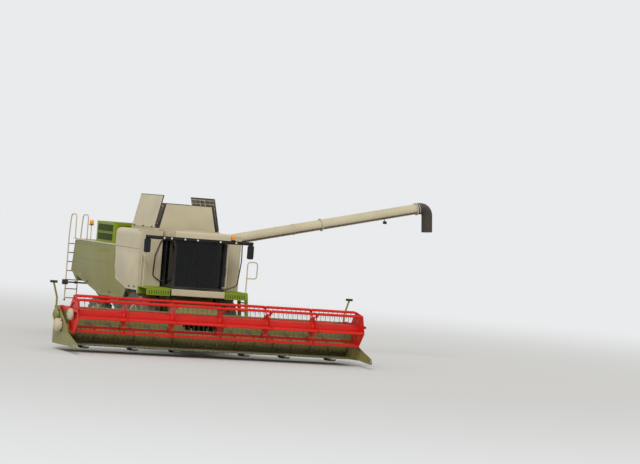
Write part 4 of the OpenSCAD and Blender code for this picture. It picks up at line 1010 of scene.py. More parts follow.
@dataclass
class Panels:
    """Side panels, grain tank lids and the cladding's small parts."""

    skin: float = 1.634
    inner: float = 1.594
    lean: float = math.radians(12.5)
    fold_x: float = 1.045
    fold_z: float = 3.7203

    def field(self, x: float, thick: float, points: list[tuple[float, float]]) -> Shape:
        """Starts the pressed field that lies on a side panel, 50 mm inside its outline.

        Args:
            x: The panel's outer face.
            thick: How far the field stands out, with its sign.
            points: The panel's outline, as y and z.

        Returns:
            The shape.
        """
        y0, z0 = (sum(values) / len(points) for values in zip(*points))
        outline = [(x, y + math.copysign(0.05, y0 - y), z + math.copysign(0.05, z0 - z)) for y, z in points]
        return Shape().plate(outline, (thick, 0, 0), 0.003)

    def side(self, side: int, name: str) -> None:
        """Adds the fields, seals, swages, latches and reflectors of one side's two panels.

        Args:
            side: 1 on the machine's left, -1 on its right.
            name: That side's name.
        """
        x, inner = side * self.skin, side * self.inner
        front, rear = f"front_panel_{name}", f"rear_panel_{name}"
        outline = [(-0.456, 1.79), (-0.456, 2.95), (1.90, 2.95), (1.90, 2.3), (1.72, 2.05), (0.61, 1.80)]
        self.field(x, side * 0.004, outline).close(f"front_panel_field_{name}", CREAM, front)
        outline = [(1.93, 2.95), (6.24, 2.95), (6.44, 2.03), (3.18, 1.46), (0.95, 1.53), (1.78, 2.0)]
        swages = self.field(x, side * 0.004, outline)
        for y0, y1, z in ((2.55, 3.65, 2.86), (2.55, 3.65, 2.80), (2.45, 5.95, 2.46)):
            swages.box((x, y0, z - 0.009), (x + side * 0.0096, y1, z + 0.009), 0.003)
        swages.close(f"rear_panel_field_{name}", OLIVE, rear)
        for node, places in ((front, ((0.3, 1.775), (-0.2, 1.79))), (rear, ((2.2, 1.47), (4.6, 1.66)))):
            latch = Shape()
            for y, z in places:
                latch.box((x - 0.004, y - 0.06, z + 0.06), (x + side * 0.012, y + 0.06, z + 0.11), 0.004)
                latch.rod((x, y, z + 0.085), (x + side * 0.018, y, z + 0.085), 0.014, sides=18, edge=0.002)
            latch.close(f"{node}_latches", PLASTIC, node)
        rim = ((-0.44, 2.96), (-0.44, 1.80), (0.6, 1.795), (1.70, 2.035), (1.89, 2.3), (1.89, 2.96))
        seal = Shape().tube([(inner, *point) for point in rim], 0.009, 8)
        seal.close(f"front_seal_{name}", RUBBER_TRIM, front)
        bars = Shape()
        for y0, y1, z0, z1 in ((2.1, 6.2, 2.70, 2.74), (2.1, 6.2, 2.1, 2.14), (2.1, 2.14, 2.1, 2.74),
                               (6.1, 6.14, 2.1, 2.74), (4.1, 4.14, 1.7, 2.74)):
            bars.box((inner, y0, z0), (inner - side * 0.02, y1, z1), 0.004)
        bars.close(f"rear_panel_frame_{name}", BLACK, rear)
        glow = Shape()
        for y, z in ((3.2, 1.52), (5.4, 1.92)):
            glow.box((x, y - 0.05, z), (x + side * 0.008, y + 0.05, z + 0.035), 0.003)
        glow.close(f"side_reflectors_{name}", AMBER, rear)

    def side_lid(self, side: int, name: str) -> None:
        """Adds the beads, ribs, hinge knuckles and rubber edges of a side's tank lid.

        Args:
            side: 1 on the machine's left, -1 on its right.
            name: That side's name.
        """
        lid, foot = f"tank_lid_{name}", at(side * self.fold_x, 0, self.fold_z)
        up = Vector((-side * math.sin(self.lean), 0, math.cos(self.lean)))
        off = Vector((side * math.cos(self.lean), 0, math.sin(self.lean)))
        face = foot - off * 0.0149
        # The faces on the lid's inside get a darker brown: painted shade
        paint_part(lid, SHADED_LID_INSIDE, lambda c: (c - foot + at(0, 0, 0)).dot(off) < -0.01)

        ribs, edge, knuckles = Shape(), Shape(), Shape()

        def rib(start: float, length: float, width: float, outline: list[tuple[float, float]]) -> None:
            """Lays one rib on the lid: its heights and depths, from a start along the lid's edge."""
            corners = [face + up * height - off * deep + BACK * start for height, deep in outline]
            ribs.plate(corners, (0, length, 0), width)

        for y, deep in ((0.08, 0.004), (0.42, 0.004), (0.86, 0.035), (1.29, 0.035), (1.74, 0.004),
                        (2.08, 0.004)):
            rib(y, 0.022, 0.001, [(0.06, 0), (0.96, 0), (0.94, deep * 0.6), (0.08, deep)])
        for h in (0.7, 0.82, 0.94):
            rib(0.03, 2.12, 0.001, [(h, 0), (h + 0.03, 0), (h + 0.026, 0.004), (h + 0.004, 0.004)])
        for h in (0.12, 0.93):
            rib(0.84, 0.5, 0.003, [(h, 0), (h + 0.04, 0), (h + 0.034, 0.02), (h + 0.006, 0.02)])
        ribs.close(f"lid_ribs_{name}", CREAM, lid)
        for (y0, low), (y1, high) in (((0.0228, 0.03), (0.0228, 1.008)), ((2.1572, 0.03), (2.1572, 1.008)),
                                      ((0.023, 1.008), (2.157, 1.008))):
            edge.tube([foot + up * low + BACK * y0, foot + up * high + BACK * y1], 0.017, 8)
        edge.close(f"lid_edge_{name}", RUBBER_TRIM, lid)
        for y in (0.25, 1.09, 1.93):
            x, z = side * self.fold_x, self.fold_z
            knuckles.rod((x, y - 0.07, z), (x, y + 0.07, z), 0.027, sides=20, edge=0.003)
        knuckles.close(f"lid_hinges_{name}", BLACK, lid)

    def end_lid(self, way: int, name: str, y: float) -> None:
        """Adds the ribs and rubber edges of the front or the rear tank lid.

        Args:
            way: -1 for the lid that folds up ahead of the tank, 1 for the one behind it.
            name: The lid's name.
            y: The middle of its sheet.
        """
        lid, face = f"tank_lid_{name}", y - way * 0.015
        # The faces on the lid's inside get a darker brown: painted shade
        paint_part(lid, SHADED_LID_INSIDE, lambda c: (c.y - y) * way < -0.01)
        ribs = Shape()
        for x in (-0.55, 0.0, 0.55):
            ribs.pad((x, face, 4.075), (0.012, 0.014, 0.325), 0.003)
        for z in (3.815, 4.375):
            ribs.pad((0, face, z), (0.72, 0.012, 0.015), 0.003)
        ribs.close(f"lid_ribs_{name}", CREAM, lid)
        a, b, outer = 0.977, 0.8041, y + way * 0.0148
        edge = Shape().tube([(-a, y, 3.70), (-b, y, 4.46), (b, y, 4.46), (a, y, 3.70)], 0.0165, 8)
        for side in (-1, 1):
            edge.plate([(side * a, outer, 3.70), (side * b, outer, 4.455), (side * (b - 0.065), outer, 4.455),
                        (side * (a - 0.065), outer, 3.70)], (0, way * 0.003, 0), 0.0005)
        edge.close(f"lid_edge_{name}", RUBBER_TRIM, lid)

    def tank(self) -> None:
        """Adds the bulkheads' grooves and bolts and the tank's rim, stays and augers."""
        grooves, heads = Shape(), []
        for side in (-1, 1):
            for x in (0.99, 1.09, 1.19, 1.29, 1.39, 1.49, 1.56):
                grooves.pad((side * x, -0.5015, 2.36), (0.012, 0.003, 0.62), 0.002)
            heads += [(side * x, -0.5, z) for x in (0.955, 1.6) for z in (1.8, 2.2, 2.6, 2.98)]
        grooves.close("bulkhead_ribs", CREAM)
        bolts("bulkhead_bolts", heads, -BACK, 0.009)
        x, front, rear, z = 1.055, -0.05, 2.232, 3.688
        rim = rounded([(-x, front, z), (-x, rear, z), (x, rear, z), (x, front, z), (-x, front, z)], 0.02)
        Shape().tube(rim, 0.012, 8).close("tank_rim_bead", CREAM)
        stays = Shape()
        for y in (0.45, 1.1, 1.75):
            stays.rod((-1.03, y, 3.55), (1.03, y, 3.55), 0.016, sides=14)
        stays.close("tank_stays", STEEL)
        flight = Shape().screw(Vector(), (0.058, 0.12), 0.16, 13.5, 0.005, 1, 18)
        quarter = Matrix.Rotation(math.pi / 2, 4, "Z")
        floor = [Matrix.Translation(at(x, -0.02, 2.48)) @ quarter for x in (-0.25, 0.25)]
        Shape().stamp(flight, floor).close("tank_floor_flights", STEEL)
        Shape().rod((0, 0.9, 2.34), (0, 0.9, 3.35), 0.11, sides=28).rod(
            (0, 0.9, 3.35), (0, 0.9, 3.42), 0.15, 0.12, 28, 0.01).close("tank_filling_auger", CREAM)

    def build(self) -> None:
        """Dresses the side panels, the lids and the tank."""
        for side, name in SIDES[::-1]:
            self.side(side, name)
        for side, name in SIDES[::-1]:
            self.side_lid(side, name)
        self.end_lid(-1, "front", -0.0137)
        self.end_lid(1, "rear", 2.1937)
        self.tank()


@dataclass
class EngineDeck:
    """Cooling housing, exhaust and air cleaner on the deck behind the grain tank, and the tail under it."""

    deck_z: float = 3.078
    hood_z: float = 3.731
    hood_x: tuple[float, ...] = (-1.5, 0.2)
    hood_y: tuple[float, ...] = (2.55, 4.41)
    cloth_y: tuple[float, ...] = (2.68, 4.28)
    cloth_frame_x: float = -1.506
    foot_z: float = 3.08
    exhaust: tuple[float, ...] = (0.75, 3.6)
    shield_radius: float = 0.098
    shield_height: float = 0.42
    cleaner_y: float = 2.7
    cleaner_z: float = 3.27
    cleaner_radius: float = 0.155
    stack_x: float = 0.98
    tail_y: float = 6.24
    tail_rake: float = 0.22 / 1.018

    def louvres(self) -> None:
        """Fills the cooling housing's openings with sloping blades over a black sheet of painted shade, and
        with wire cloth, and frames them.
        """
        blades = Shape()
        for z in (3.1583 + i * 0.058 for i in range(9)):
            blades.box((-1.39, 2.544, z - 0.003), (0.09, 2.56, z + 0.003), 0.002, -30)
        blades.close("louvre_blades", LIME)
        # A black sheet just behind the blades: painted shade of the housing's inside, seen between them
        Shape().box((-1.39, 2.575, 3.15), (0.09, 2.576, 3.66)).close("louvre_shade_sheet", RUBBER_TRIM)
        cloth, trim, x = Shape(), Shape(), self.cloth_frame_x
        near, far = self.cloth_y
        for low, high in ((3.14, 3.375), (3.425, 3.66)):
            cloth.box((x - 0.0015, near, low), (x + 0.0065, far, high), 0.001)
            trim.rods([(x, near, low), (x, near, high), (x, far, high), (x, far, low)], 0.011)
        cloth.close("intake_cloth", MESH)
        (x0, x1), (y0, y1), top = self.hood_x, self.hood_y, self.hood_z
        for a, b, c, d in ((x0, y0, x0, y1), (x0, y1, x1, y1), (x1, y0, x1, y1), (x0, y0, x1, y0)):
            trim.box((a - 0.006, b - 0.006, top - 0.035), (c + 0.006, d + 0.006, top + 0.006), 0.006)
        for y in (2.95, 3.35, 3.75, 4.15):
            trim.box((x0 + 0.1, y - 0.02, top - 0.002), (x1 - 0.1, y + 0.02, top + 0.01), 0.004)
        for z in (3.2, 3.6):
            trim.rod((x1 + 0.001, 2.6, z), (x1 + 0.001, 2.72, z), 0.016, sides=14)
        trim.close("cooling_housing_trim", LIME)

    def breathing(self) -> None:
        """Builds the exhaust in its shield and the air cleaner with its rain cap."""
        (x, y), foot, inner, height = self.exhaust, self.foot_z, self.shield_radius, self.shield_height
        path = rounded([(x, y, foot), (x, y, 3.62), (x, y + 0.2, 3.78)], 0.12, 8)
        Shape().tube(path, 0.075, 28).close("exhaust_pipe", STEEL)
        outer = inner + 0.007
        shield = Shape().lathe([(inner, 0.0), (outer, 0.0), (outer, height), (inner, height)],
                               (x, y, foot + 0.02), UP, 32)
        shield.close("exhaust_shield", IRON)
        stack, y, z, inner = self.stack_x, self.cleaner_y, self.cleaner_z, self.cleaner_radius
        cleaner = Shape().rod((0.65, y, z), (1.3, y, z), inner, sides=36, edge=0.012)
        cleaner.rod((stack, y, 3.4), (stack, y, 3.62), 0.06, sides=24)
        cleaner.rod((stack, y, 3.6), (stack, y, 3.7), 0.13, 0.1, 32, 0.01)
        for x in (0.8, 1.2):
            cleaner.rod((x, y, foot), (x, y, foot + 0.06), 0.05)
        cleaner.close("air_cleaner", PLASTIC)
        bands, outer, half = Shape(), inner + 0.005, 0.015
        for x in (0.76, 1.2):
            bands.lathe([(inner, -half), (outer, -half), (outer, half), (inner, half)], (x, y, z), LEFT, 36)
        bands.close("air_cleaner_bands", ZINC)

    def deck(self) -> None:
        """Lays the deck's tread strips, its hatch and the fuel filler."""
        tread, deck = Shape(), self.deck_z
        for y in (4.5 + i * 0.1 for i in range(16)):
            for x0, x1 in ((0.35, 1.5), (-1.5, -0.4)):
                tread.box((x0, y, deck), (x1, y + 0.03, deck + 0.004), 0.001)
        tread.close("deck_tread", ZINC)
        cap = Shape().rod((1.25, 5.9, deck), (1.25, 5.9, deck + 0.06), 0.07, 0.065, 28, 0.006)
        cap.box((-0.5, 4.9, deck), (0.3, 5.7, deck + 0.012), 0.004)
        cap.rod((-0.1, 4.95, deck + 0.03), (-0.1, 5.1, deck + 0.03), 0.01, sides=10)
        cap.close("filler_cap_and_hatch", CREAM)

    def face(self, z: float) -> float:
        """Returns how far back the hood's raked face lies at a height."""
        return self.tail_y + self.tail_rake * (3.028 - z)

    def tail(self) -> None:
        """Adds slats and plate carrier, the chopper's vanes and pulleys, and the ladder's treads and feet."""
        slats, high, low = Shape(), 3.0, 2.05
        for z in (2.35 + i * 0.085 for i in range(7)):
            slats.pad((0, self.face(z) + 0.006, z), (0.75, 0.01, 0.012), 0.004, -25)
        for x in (-1.32, -0.47, 0.43, 1.28):
            slats.plate([(x, self.face(z) + out, z) for z, out in (
                (high, -0.003), (high, 0.012), (low, 0.012), (low, -0.003))], (0.04, 0, 0), 0.003)
        slats.close("hood_slats", OLIVE)
        carrier = Shape().pad((1.01, self.face(2.2) + 0.006, 2.19), (0.26, 0.008, 0.07), 0.006, 12)
        carrier.close("plate_carrier", PLASTIC)
        vanes = Shape()
        for i, x in enumerate(i * 0.12 - 0.72 for i in range(13)):
            vanes.plate([(x, 6.30, 1.81), (x, 6.46, 1.662), (x + 0.005 * (i - 6), 6.50, 1.60), (x, 6.2, 1.35),
                         (x, 6.16, 1.4)], (0.006, 0, 0), 0.001)
        vanes.close("chopper_vanes", IRON)
        ends, face, y, z = Shape(), 0.86, 5.75, 1.42
        for side in (-1, 1):
            ends.rod((side * (face - 0.06), y, z), (side * face, y, z), 0.17, 0.16, 36, 0.008)
            ends.rod((side * face, y, z), (side * (face + 0.04), y, z), 0.05, sides=24)
        ends.close("chopper_pulleys", IRON)
        heads = [at(face, y, z) + spoke(0.4 + 1.25 * i - math.pi / 2, 0.12) for i in range(5)]
        bolts("chopper_bolts", heads, LEFT, 0.01)
        treads, feet, (outer, inner), y = Shape(), Shape(), Rails.stiles, Rails.ladder_y
        for z in Rails.rungs:
            treads.box((outer + 0.02, y - 0.035, z + 0.012), (inner - 0.02, y + 0.02, z + 0.02), 0.003)
        treads.close("ladder_treads", ZINC)
        for x in Rails.stiles:
            feet.rod((x, y, 0.985), (x, y, 1.05), 0.026, sides=18, edge=0.006)
            feet.pad((x, y - 0.7, self.deck_z + 0.005), (0.05, 0.05, 0.005), 0.003)
        feet.close("ladder_feet", PLASTIC)

    def build(self) -> None:
        """Builds the deck's and the tail's parts."""
        self.louvres()
        self.breathing()
        self.deck()
        self.tail()


@dataclass
class Rails:
    """The ladder at the tail and the rails round the cab, bent from round tube."""

    deck: float = 1.9303
    engine_deck: float = 3.0783
    ladder_y: float = 6.58
    rail_z: float = 2.88
    post_x: float = 1.575
    hoop_y: tuple[float, ...] = (-0.57, -0.86)
    gate_y: float = -1.34
    gate_z: float = 2.38
    gate_width: float = 0.32
    stiles: tuple[float, ...] = (-1.76, -1.36)
    rungs: tuple[float, ...] = tuple(1.08 + 0.3 * i for i in range(7))

    def build(self) -> None:
        """Builds the ladder, the loops on the platforms and the bars that brace visor and mirrors."""
        ladder, y, z = Shape(), self.ladder_y, self.rail_z
        for x in self.stiles:
            ladder.tube(rounded([(x, y, 1.0), (x, y, 3.15), (x, y - 0.12, 3.86), (x, y - 0.7, 3.88),
                                 (x, y - 0.7, self.engine_deck)], 0.17, 7), 0.02, 14)
        outer, inner = self.stiles
        for rung in self.rungs:
            ladder.rod((outer, y, rung), (inner, y, rung), 0.016, sides=12)
        middle = (outer + inner) / 2
        ladder.rod((middle, 6.2766, z), (middle, y, z), 0.02, sides=14)
        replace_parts(ladder.close("bent_ladder", CREAM, smooth_deg=40), "rear_ladder")
        (near, far), x, deck = self.hoop_y, self.post_x, self.deck
        hoop = rounded([(-x, near, deck), (-x, near, z), (-x, far, z), (-x, far, deck)], 0.11, 7)
        loops = Shape().tube(hoop, 0.019, 14)
        y, low, out = self.gate_y, self.gate_z, x + self.gate_width
        gate = rounded([(x, y, deck), (x, y, z), (out, y, z), (out, y, low), (x + 0.01, y, low)], 0.1, 7)
        loops.tube(gate, 0.018, 14)
        loops.tube(rounded([(0.78, -1.4223, 3.385), (0.868, -1.438, 3.37), (0.868, -1.44, 2.06),
                            (0.78, -1.4223, 2.045)], 0.06), 0.013, 12)
        for z in (2.045, 3.385):
            loops.rod((0.78, -1.4363, z), (0.78, -1.4003, z), 0.015, sides=12)
        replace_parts(loops.close("platform_rails", CREAM, smooth_deg=40), "handrails")
        brace = ((-0.8173, 3.36), (-0.9813, 3.35), (-1.1513, 2.87), (-1.1813, 2.25), (-0.9573, 2.11),
                 (-0.8173, 2.105))
        bars = Shape().tube(rounded([(x, -0.54, z) for x, z in brace], 0.09, 6), 0.016, 12)
        pillar = ((1.33, -1.379, 3.383), (1.33, -1.42, 2.9), (1.235, -1.44, 2.13), (0.88, -1.44, 2.0),
                  (0.79, -1.438, 1.983), (0.79, -1.4003, 1.983))
        bars.tube(rounded(pillar, 0.1, 6), 0.018, 12)
        bars.close("cab_bars", BLACK, smooth_deg=40)


@dataclass
class Flanks:
    """Pulleys, belts and shafts on the threshing body's sides, and the platforms' treads."""

    belt_x: float = 0.925
    body_x: float = 0.86
    tail_x: float = 0.69
    tail_from_y: float = 2.6
    pitch: float = 0.088

    def drives(self, side: int, name: str, pulleys: list[Triple], belts: list[tuple[int, int]]) -> None:
        """Builds one flank's pulleys on their shafts and the belts that run on them.

        Args:
            side: 1 on the left, -1 on the right.
            name: The flank's name.
            pulleys: Each pulley's y, z and radius.
            belts: The pairs of pulleys that share a belt.
        """
        wheels, shafts, bands = Shape(), Shape(), Shape()
        for y, z, r in pulleys:
            half = [(0.03, 0.035), (0.055, 0.035), (0.055, 0.012), (r - 0.03, 0.012), (r - 0.025, 0.026),
                    (r + 0.012, 0.026), (r - 0.006, 0.008)]
            profile = [(radius, -aside) for radius, aside in half] + half[::-1]
            wheels.lathe(profile, (side * self.belt_x, y, z), LEFT, 40)
            foot, end = self.body_x if y < self.tail_from_y else self.tail_x, self.belt_x + 0.05
            shafts.rod((side * (foot - 0.01), y, z), (side * end, y, z), 0.031, sides=20, edge=0.004)
            shafts.rod((side * foot, y, z), (side * (foot + 0.03), y, z), 0.085, 0.07, 24, 0.004)
        for a, b in ((pulleys[first], pulleys[second]) for first, second in belts):
            way = Vector((b[0] - a[0], b[1] - a[1]))
            lean, course = math.asin((a[2] - b[2]) / way.length), math.atan2(way.y, way.x)
            path, wrap = [], math.pi / 2
            for (y, z, r), first, last in ((a, course + wrap - lean, course + 3 * wrap + lean),
                                           (b, course - wrap + lean, course + wrap - lean)):
                for turn in (first + (last - first) * i / 12 for i in range(13)):
                    path.append((side * self.belt_x, y + r * math.cos(turn), z + r * math.sin(turn)))
            bands.tube([*path, path[0]], 0.011, 6)
        wheels.close(f"drive_pulleys_{name}", IRON)
        shafts.close(f"drive_shafts_{name}", STEEL)
        bands.close(f"drive_belts_{name}", RUBBER_TRIM)

    def shell(self) -> None:
        """Adds the flanges, service covers and bolts of the threshing body's sheets."""
        ribs, x, tail = Shape(), self.body_x, self.tail_x
        for side in (-1, 1):
            for foot, thick, y0, y1, z0, z1 in (
                    (x, 0.02, 1.03, 1.07, 0.75, 2.28), (x, 0.02, 2.53, 2.57, 0.75, 2.28),
                    (x, 0.012, 1.06, 2.54, 1.005, 1.035), (x, 0.012, 1.06, 2.54, 2.085, 2.115),
                    (tail, 0.02, 3.18, 3.22, 1.42, 2.28), (tail, 0.02, 4.28, 4.32, 1.42, 2.28),
                    (tail, 0.02, 5.28, 5.32, 1.42, 2.28), (tail, 0.008, 3.3, 4.2, 1.75, 2.15)):
                ribs.box((side * foot, y0, z0), (side * (foot + thick), y1, z1), 0.003)
        ribs.close("threshing_body_flanges", OLIVE)
        heads = [(tail + 0.008, y, z) for y in (3.35, 3.75, 4.15) for z in (1.8, 2.1)]
        heads += [(x + 0.012, 1.12 + 0.19 * i, z) for i in range(8) for z in (1.02, 2.1)]
        bolts("threshing_body_bolts", heads, LEFT, 0.009)

    def treads(self) -> None:
        """Lays the platforms' raised tread bars, dark pads of painted shade in their slots, and the rail
        feet.
        """
        slot_shade, feet, places = Shape(), Shape(), []
        bar = Shape().box(Vector((-0.03, -0.004, 0)), Vector((0.03, 0.004, 0.0045)), 0.001)
        for side in (-1, 1):
            for i, j in ((i, j) for i in range(8) for j in range(10)):
                turn = Matrix.Rotation(math.radians(45 if (i + j) % 2 else -45), 4, "Z")
                foot = at(side * (0.9 + i * self.pitch), -1.33 + j * self.pitch, 1.93)
                places.append(Matrix.Translation(foot) @ turn)
            # Dark pads on the platforms' front plates: painted shade where the slots open
            for i in range(9):
                slot_shade.pad((side * (0.93 + i * 0.075), -1.37925, 1.7925), (0.012, 0.00225, 0.0575), 0.001)
        Shape().stamp(bar, places).close("platform_tread", LIME)
        slot_shade.close("platform_slot_shade", RUBBER_TRIM)
        for x, y in (*((-Rails.post_x, y) for y in Rails.hoop_y), (Rails.post_x, Rails.gate_y)):
            feet.rod((x, y, 1.9305), (x, y, 1.94), 0.036, sides=20, edge=0.002)
        feet.close("rail_feet", CREAM)

    def build(self) -> None:
        """Builds both flanks and the treads."""
        self.drives(1, "left", [(1.38, 1.3, 0.24), (2.3, 1.72, 0.15), (3.62, 2.0, 0.2), (4.95, 1.62, 0.14),
                                (3.05, 1.5, 0.1)], [(0, 1), (1, 2), (2, 3), (0, 4)])
        self.drives(-1, "right", [(1.45, 1.45, 0.3), (2.75, 1.45, 0.12), (4.1, 1.95, 0.18),
                                  (5.2, 1.75, 0.13)], [(0, 1), (1, 2), (2, 3)])
        self.shell()
        self.treads()


@dataclass
class Cab:
    """Glass seals, wiper, door furniture and everything the driver sees and touches."""

    half_width: float = 0.816
    front: float = -1.40
    floor: float = 1.94
    top: float = 3.42
    screen_radius: float = 2.4
    pads: tuple[tuple[str, Triple, Triple, str], ...] = (
        ("seat_cushion", (-0.235, -0.86, 2.29), (0.235, -0.40, 2.40), "Z"),
        ("seat_back", (-0.225, -0.52, 2.38), (0.225, -0.40, 2.93), "Y"),
        ("head_rest", (-0.13, -0.49, 2.93), (0.13, -0.41, 3.07), "Y"),
        ("arm_rest_left", (0.245, -0.80, 2.5), (0.315, -0.44, 2.55), "Z"),
        ("arm_rest_right", (-0.315, -0.80, 2.5), (-0.245, -0.44, 2.55), "Z"),
    )

    def screen(self, x: float, z: float, out: float = 0.0) -> Vector:
        """Returns a point on the windscreen's outer face, or out in front of it."""
        middle, radius = self.front + self.screen_radius - 0.045, self.screen_radius + out
        return at(x, middle - math.sqrt(radius ** 2 - x * x), z)

    def seals(self) -> None:
        """Adds the rubber round the glass, and the wiper."""
        edge, low, high = self.half_width - 0.05, self.floor + 0.05, self.top - 0.05
        seal = Shape()
        for z in (low, high):
            seal.tube([self.screen(edge * (i / 6 - 1), z, 0.002) for i in range(13)], 0.012)
        for x in (-edge, edge):
            seal.tube([self.screen(x, low, 0.002), self.screen(x, high, 0.002)], 0.012)
        seal.close("windscreen_seal", RUBBER_TRIM)
        foot, tip = self.screen(0.1, self.floor + 0.02, 0.03), self.screen(-0.28, 2.62, 0.02)
        wiper = Shape().rod(foot, foot + BACK * 0.06, 0.022)
        wiper.tube([foot, (foot + tip) / 2 - BACK * 0.012, tip], 0.007)
        blade = [self.screen(-0.28 + 0.06 * t, 2.62 + 0.42 * t, 0.012) for t in (-1, -0.5, 0, 0.5, 1)]
        wiper.tube(blade, 0.008).close("wiper", PLASTIC)
        corners = [(-1.31, 2.0), (-1.35, 3.36), (-0.57, 3.36), (-0.57, 2.0)]
        Shape().rods([(0.008 - self.half_width, *corner) for corner in corners], 0.011).close(
            "side_window_seal", RUBBER_TRIM)

    def door(self) -> None:
        """Adds the door's seal, handle and hinge bolts."""
        x, y = self.half_width + 0.036, -1.3
        corners = [(-1.28, 2.03), (-1.318, 3.33), (-0.6, 3.33), (-0.6, 2.03)]
        seal = Shape().rods([(x - 0.006, *corner) for corner in corners], 0.008)
        seal.close("door_seal", RUBBER_TRIM, "door")
        bow = [(x, y, 2.42), (x + 0.05, y, 2.42), (x + 0.05, y, 2.64), (x, y, 2.64)]
        handle = Shape().tube(rounded(bow, 0.03), 0.011)
        for z in (2.41, 2.65):
            handle.pad((x + 0.005, y, z), (0.007, 0.03, 0.03), 0.004)
        handle.close("door_handle", PLASTIC, "door")
        bolts("door_bolts", [(x, -0.565, z) for z in (2.16, 2.22, 3.14, 3.2)], LEFT, 0.011, "door")

    def interior(self) -> None:
        """Adds the seat with its upholstery, and the console with its lever and screen."""
        floor, y, z = self.floor, -0.62, self.floor + 0.33
        stand = Shape().rod((0, y, floor + 0.001), (0, y, floor + 0.03), 0.2, 0.18, 28)
        for ring in (floor + 0.045 + i * 0.055 for i in range(5)):
            stand.lathe([(0.07, -0.026), (0.095, 0.0), (0.07, 0.026)], (0, y, ring), UP, 28)
        stand.box((-0.2, y - 0.24, z - 0.015), (0.2, y + 0.2, z + 0.02), 0.01)
        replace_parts(stand.close("seat_stand", PLASTIC), "driver_seat")
        for name, low, high, crown in self.pads:
            cushion(name, at(*low), at(*high), crown)
        console = Shape().box((-0.5, -0.86, 2.36), (-0.33, -0.36, 2.49), 0.03)
        console.box((-0.46, -0.7, floor + 0.001), (-0.37, -0.45, 2.37), 0.02)
        console.box((-0.5, -1.12, 2.55), (-0.47, -0.86, 2.75), 0.01)
        console.tube([(-0.42, -0.82, 2.45), (-0.46, -0.95, 2.5), (-0.48, -0.98, 2.62)], 0.012)
        console.tube([(-0.41, -0.76, 2.48), (-0.41, -0.77, 2.56), (-0.40, -0.79, 2.6)], 0.012)
        console.box((-0.435, -0.82, 2.58), (-0.385, -0.75, 2.68), 0.018)
        console.close("console", PLASTIC)
        Shape().box((-0.4695, -1.11, 2.565), (-0.4675, -0.87, 2.735)).close("console_screen", GLASS)

    def build(self) -> None:
        """Dresses the cab, with its mirrors' glass, roof hatch and vents."""
        self.seals()
        self.door()
        self.interior()
        glass = Shape()
        low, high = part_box("mirrors")
        for side in (-1, 1):
            for z0, z1 in ((high.z - 0.31, high.z - 0.03), (low.z + 0.03, high.z - 0.33)):
                glass.box(Vector((MIDDLE_X + side * 1.745, high.y + 0.0005, z0)),
                          Vector((MIDDLE_X + side * 1.585, high.y + 0.004, z1)), 0.0015)
        glass.close("mirror_glass", MIRROR)
        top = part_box("cab_roof")[1].z
        hatch = Shape().box((-0.45, -1.1, top - 0.002), (0.45, -0.35, top + 0.02), 0.012)
        for x in (-0.25, 0, 0.25):
            hatch.box((x - 0.02, -1.05, top + 0.015), (x + 0.02, -0.4, top + 0.03), 0.006)
        hatch.close("roof_hatch", CREAM)
        vents = Shape()
        for side, y in ((side, -1.189 + i * 0.05) for side in (-1, 1) for i in range(6)):
            vents.pad((side * 0.889, y, 3.575), (0.006, 0.011, 0.045), 0.003)
        vents.close("roof_vents", CREAM)


def cushion(name: str, low: Vector, high: Vector, crown: str, rise: float = 0.022) -> Object:
    """Builds an upholstered pad: crowned on its faces, drawn in between its corners.

    Args:
        name: The piece's name.
        low: The pad's lowest corner.
        high: Its highest corner.
        crown: The axis that it is stuffed along, "Y" or "Z".
        rise: How far its faces stand proud in the middle.

    Returns:
        The finished pad.
    """
    shape = Shape()
    half = (high - low) / 2
    bmesh.ops.create_cube(shape.mesh, size=2)
    bmesh.ops.subdivide_edges(shape.mesh, edges=shape.mesh.edges, cuts=9, use_grid_fill=True)
    thick = "XYZ".index(crown)
    first, second = (axis for axis in range(3) if axis != thick)
    # Shares of half the pad: how far its sides draw in, the seam round its rim and its two channels
    proud, waist, seam_depth, seam_from = rise / half[thick], 0.04, 0.35, 0.72
    channel_depth, channel_at, channel_width = 0.12, 0.55, 0.06
    for vert in shape.mesh.verts:
        a, b = vert.co[first], vert.co[second]
        vert.co[first] *= 1 - waist * (1 - b * b)
        vert.co[second] *= 1 - waist * (1 - a * a)
        seam = seam_depth * max(0.0, (max(abs(a), abs(b)) - seam_from) / (1 - seam_from)) ** 2
        channel = channel_depth * math.exp(-((abs(a) - channel_at) / channel_width) ** 2)
        vert.co[thick] *= (1 - seam - channel) * (1 - proud) + (1 - a * a) * (1 - b * b) * proud
    bmesh.ops.scale(shape.mesh, vec=half, verts=shape.mesh.verts)
    bmesh.ops.translate(shape.mesh, vec=(low + high) / 2, verts=shape.mesh.verts)
    piece = shape.close(name, FABRIC, smooth_deg=60)
    soft = piece.modifiers.new("soft", "SUBSURF")
    soft.levels = soft.render_levels = 1
    return piece


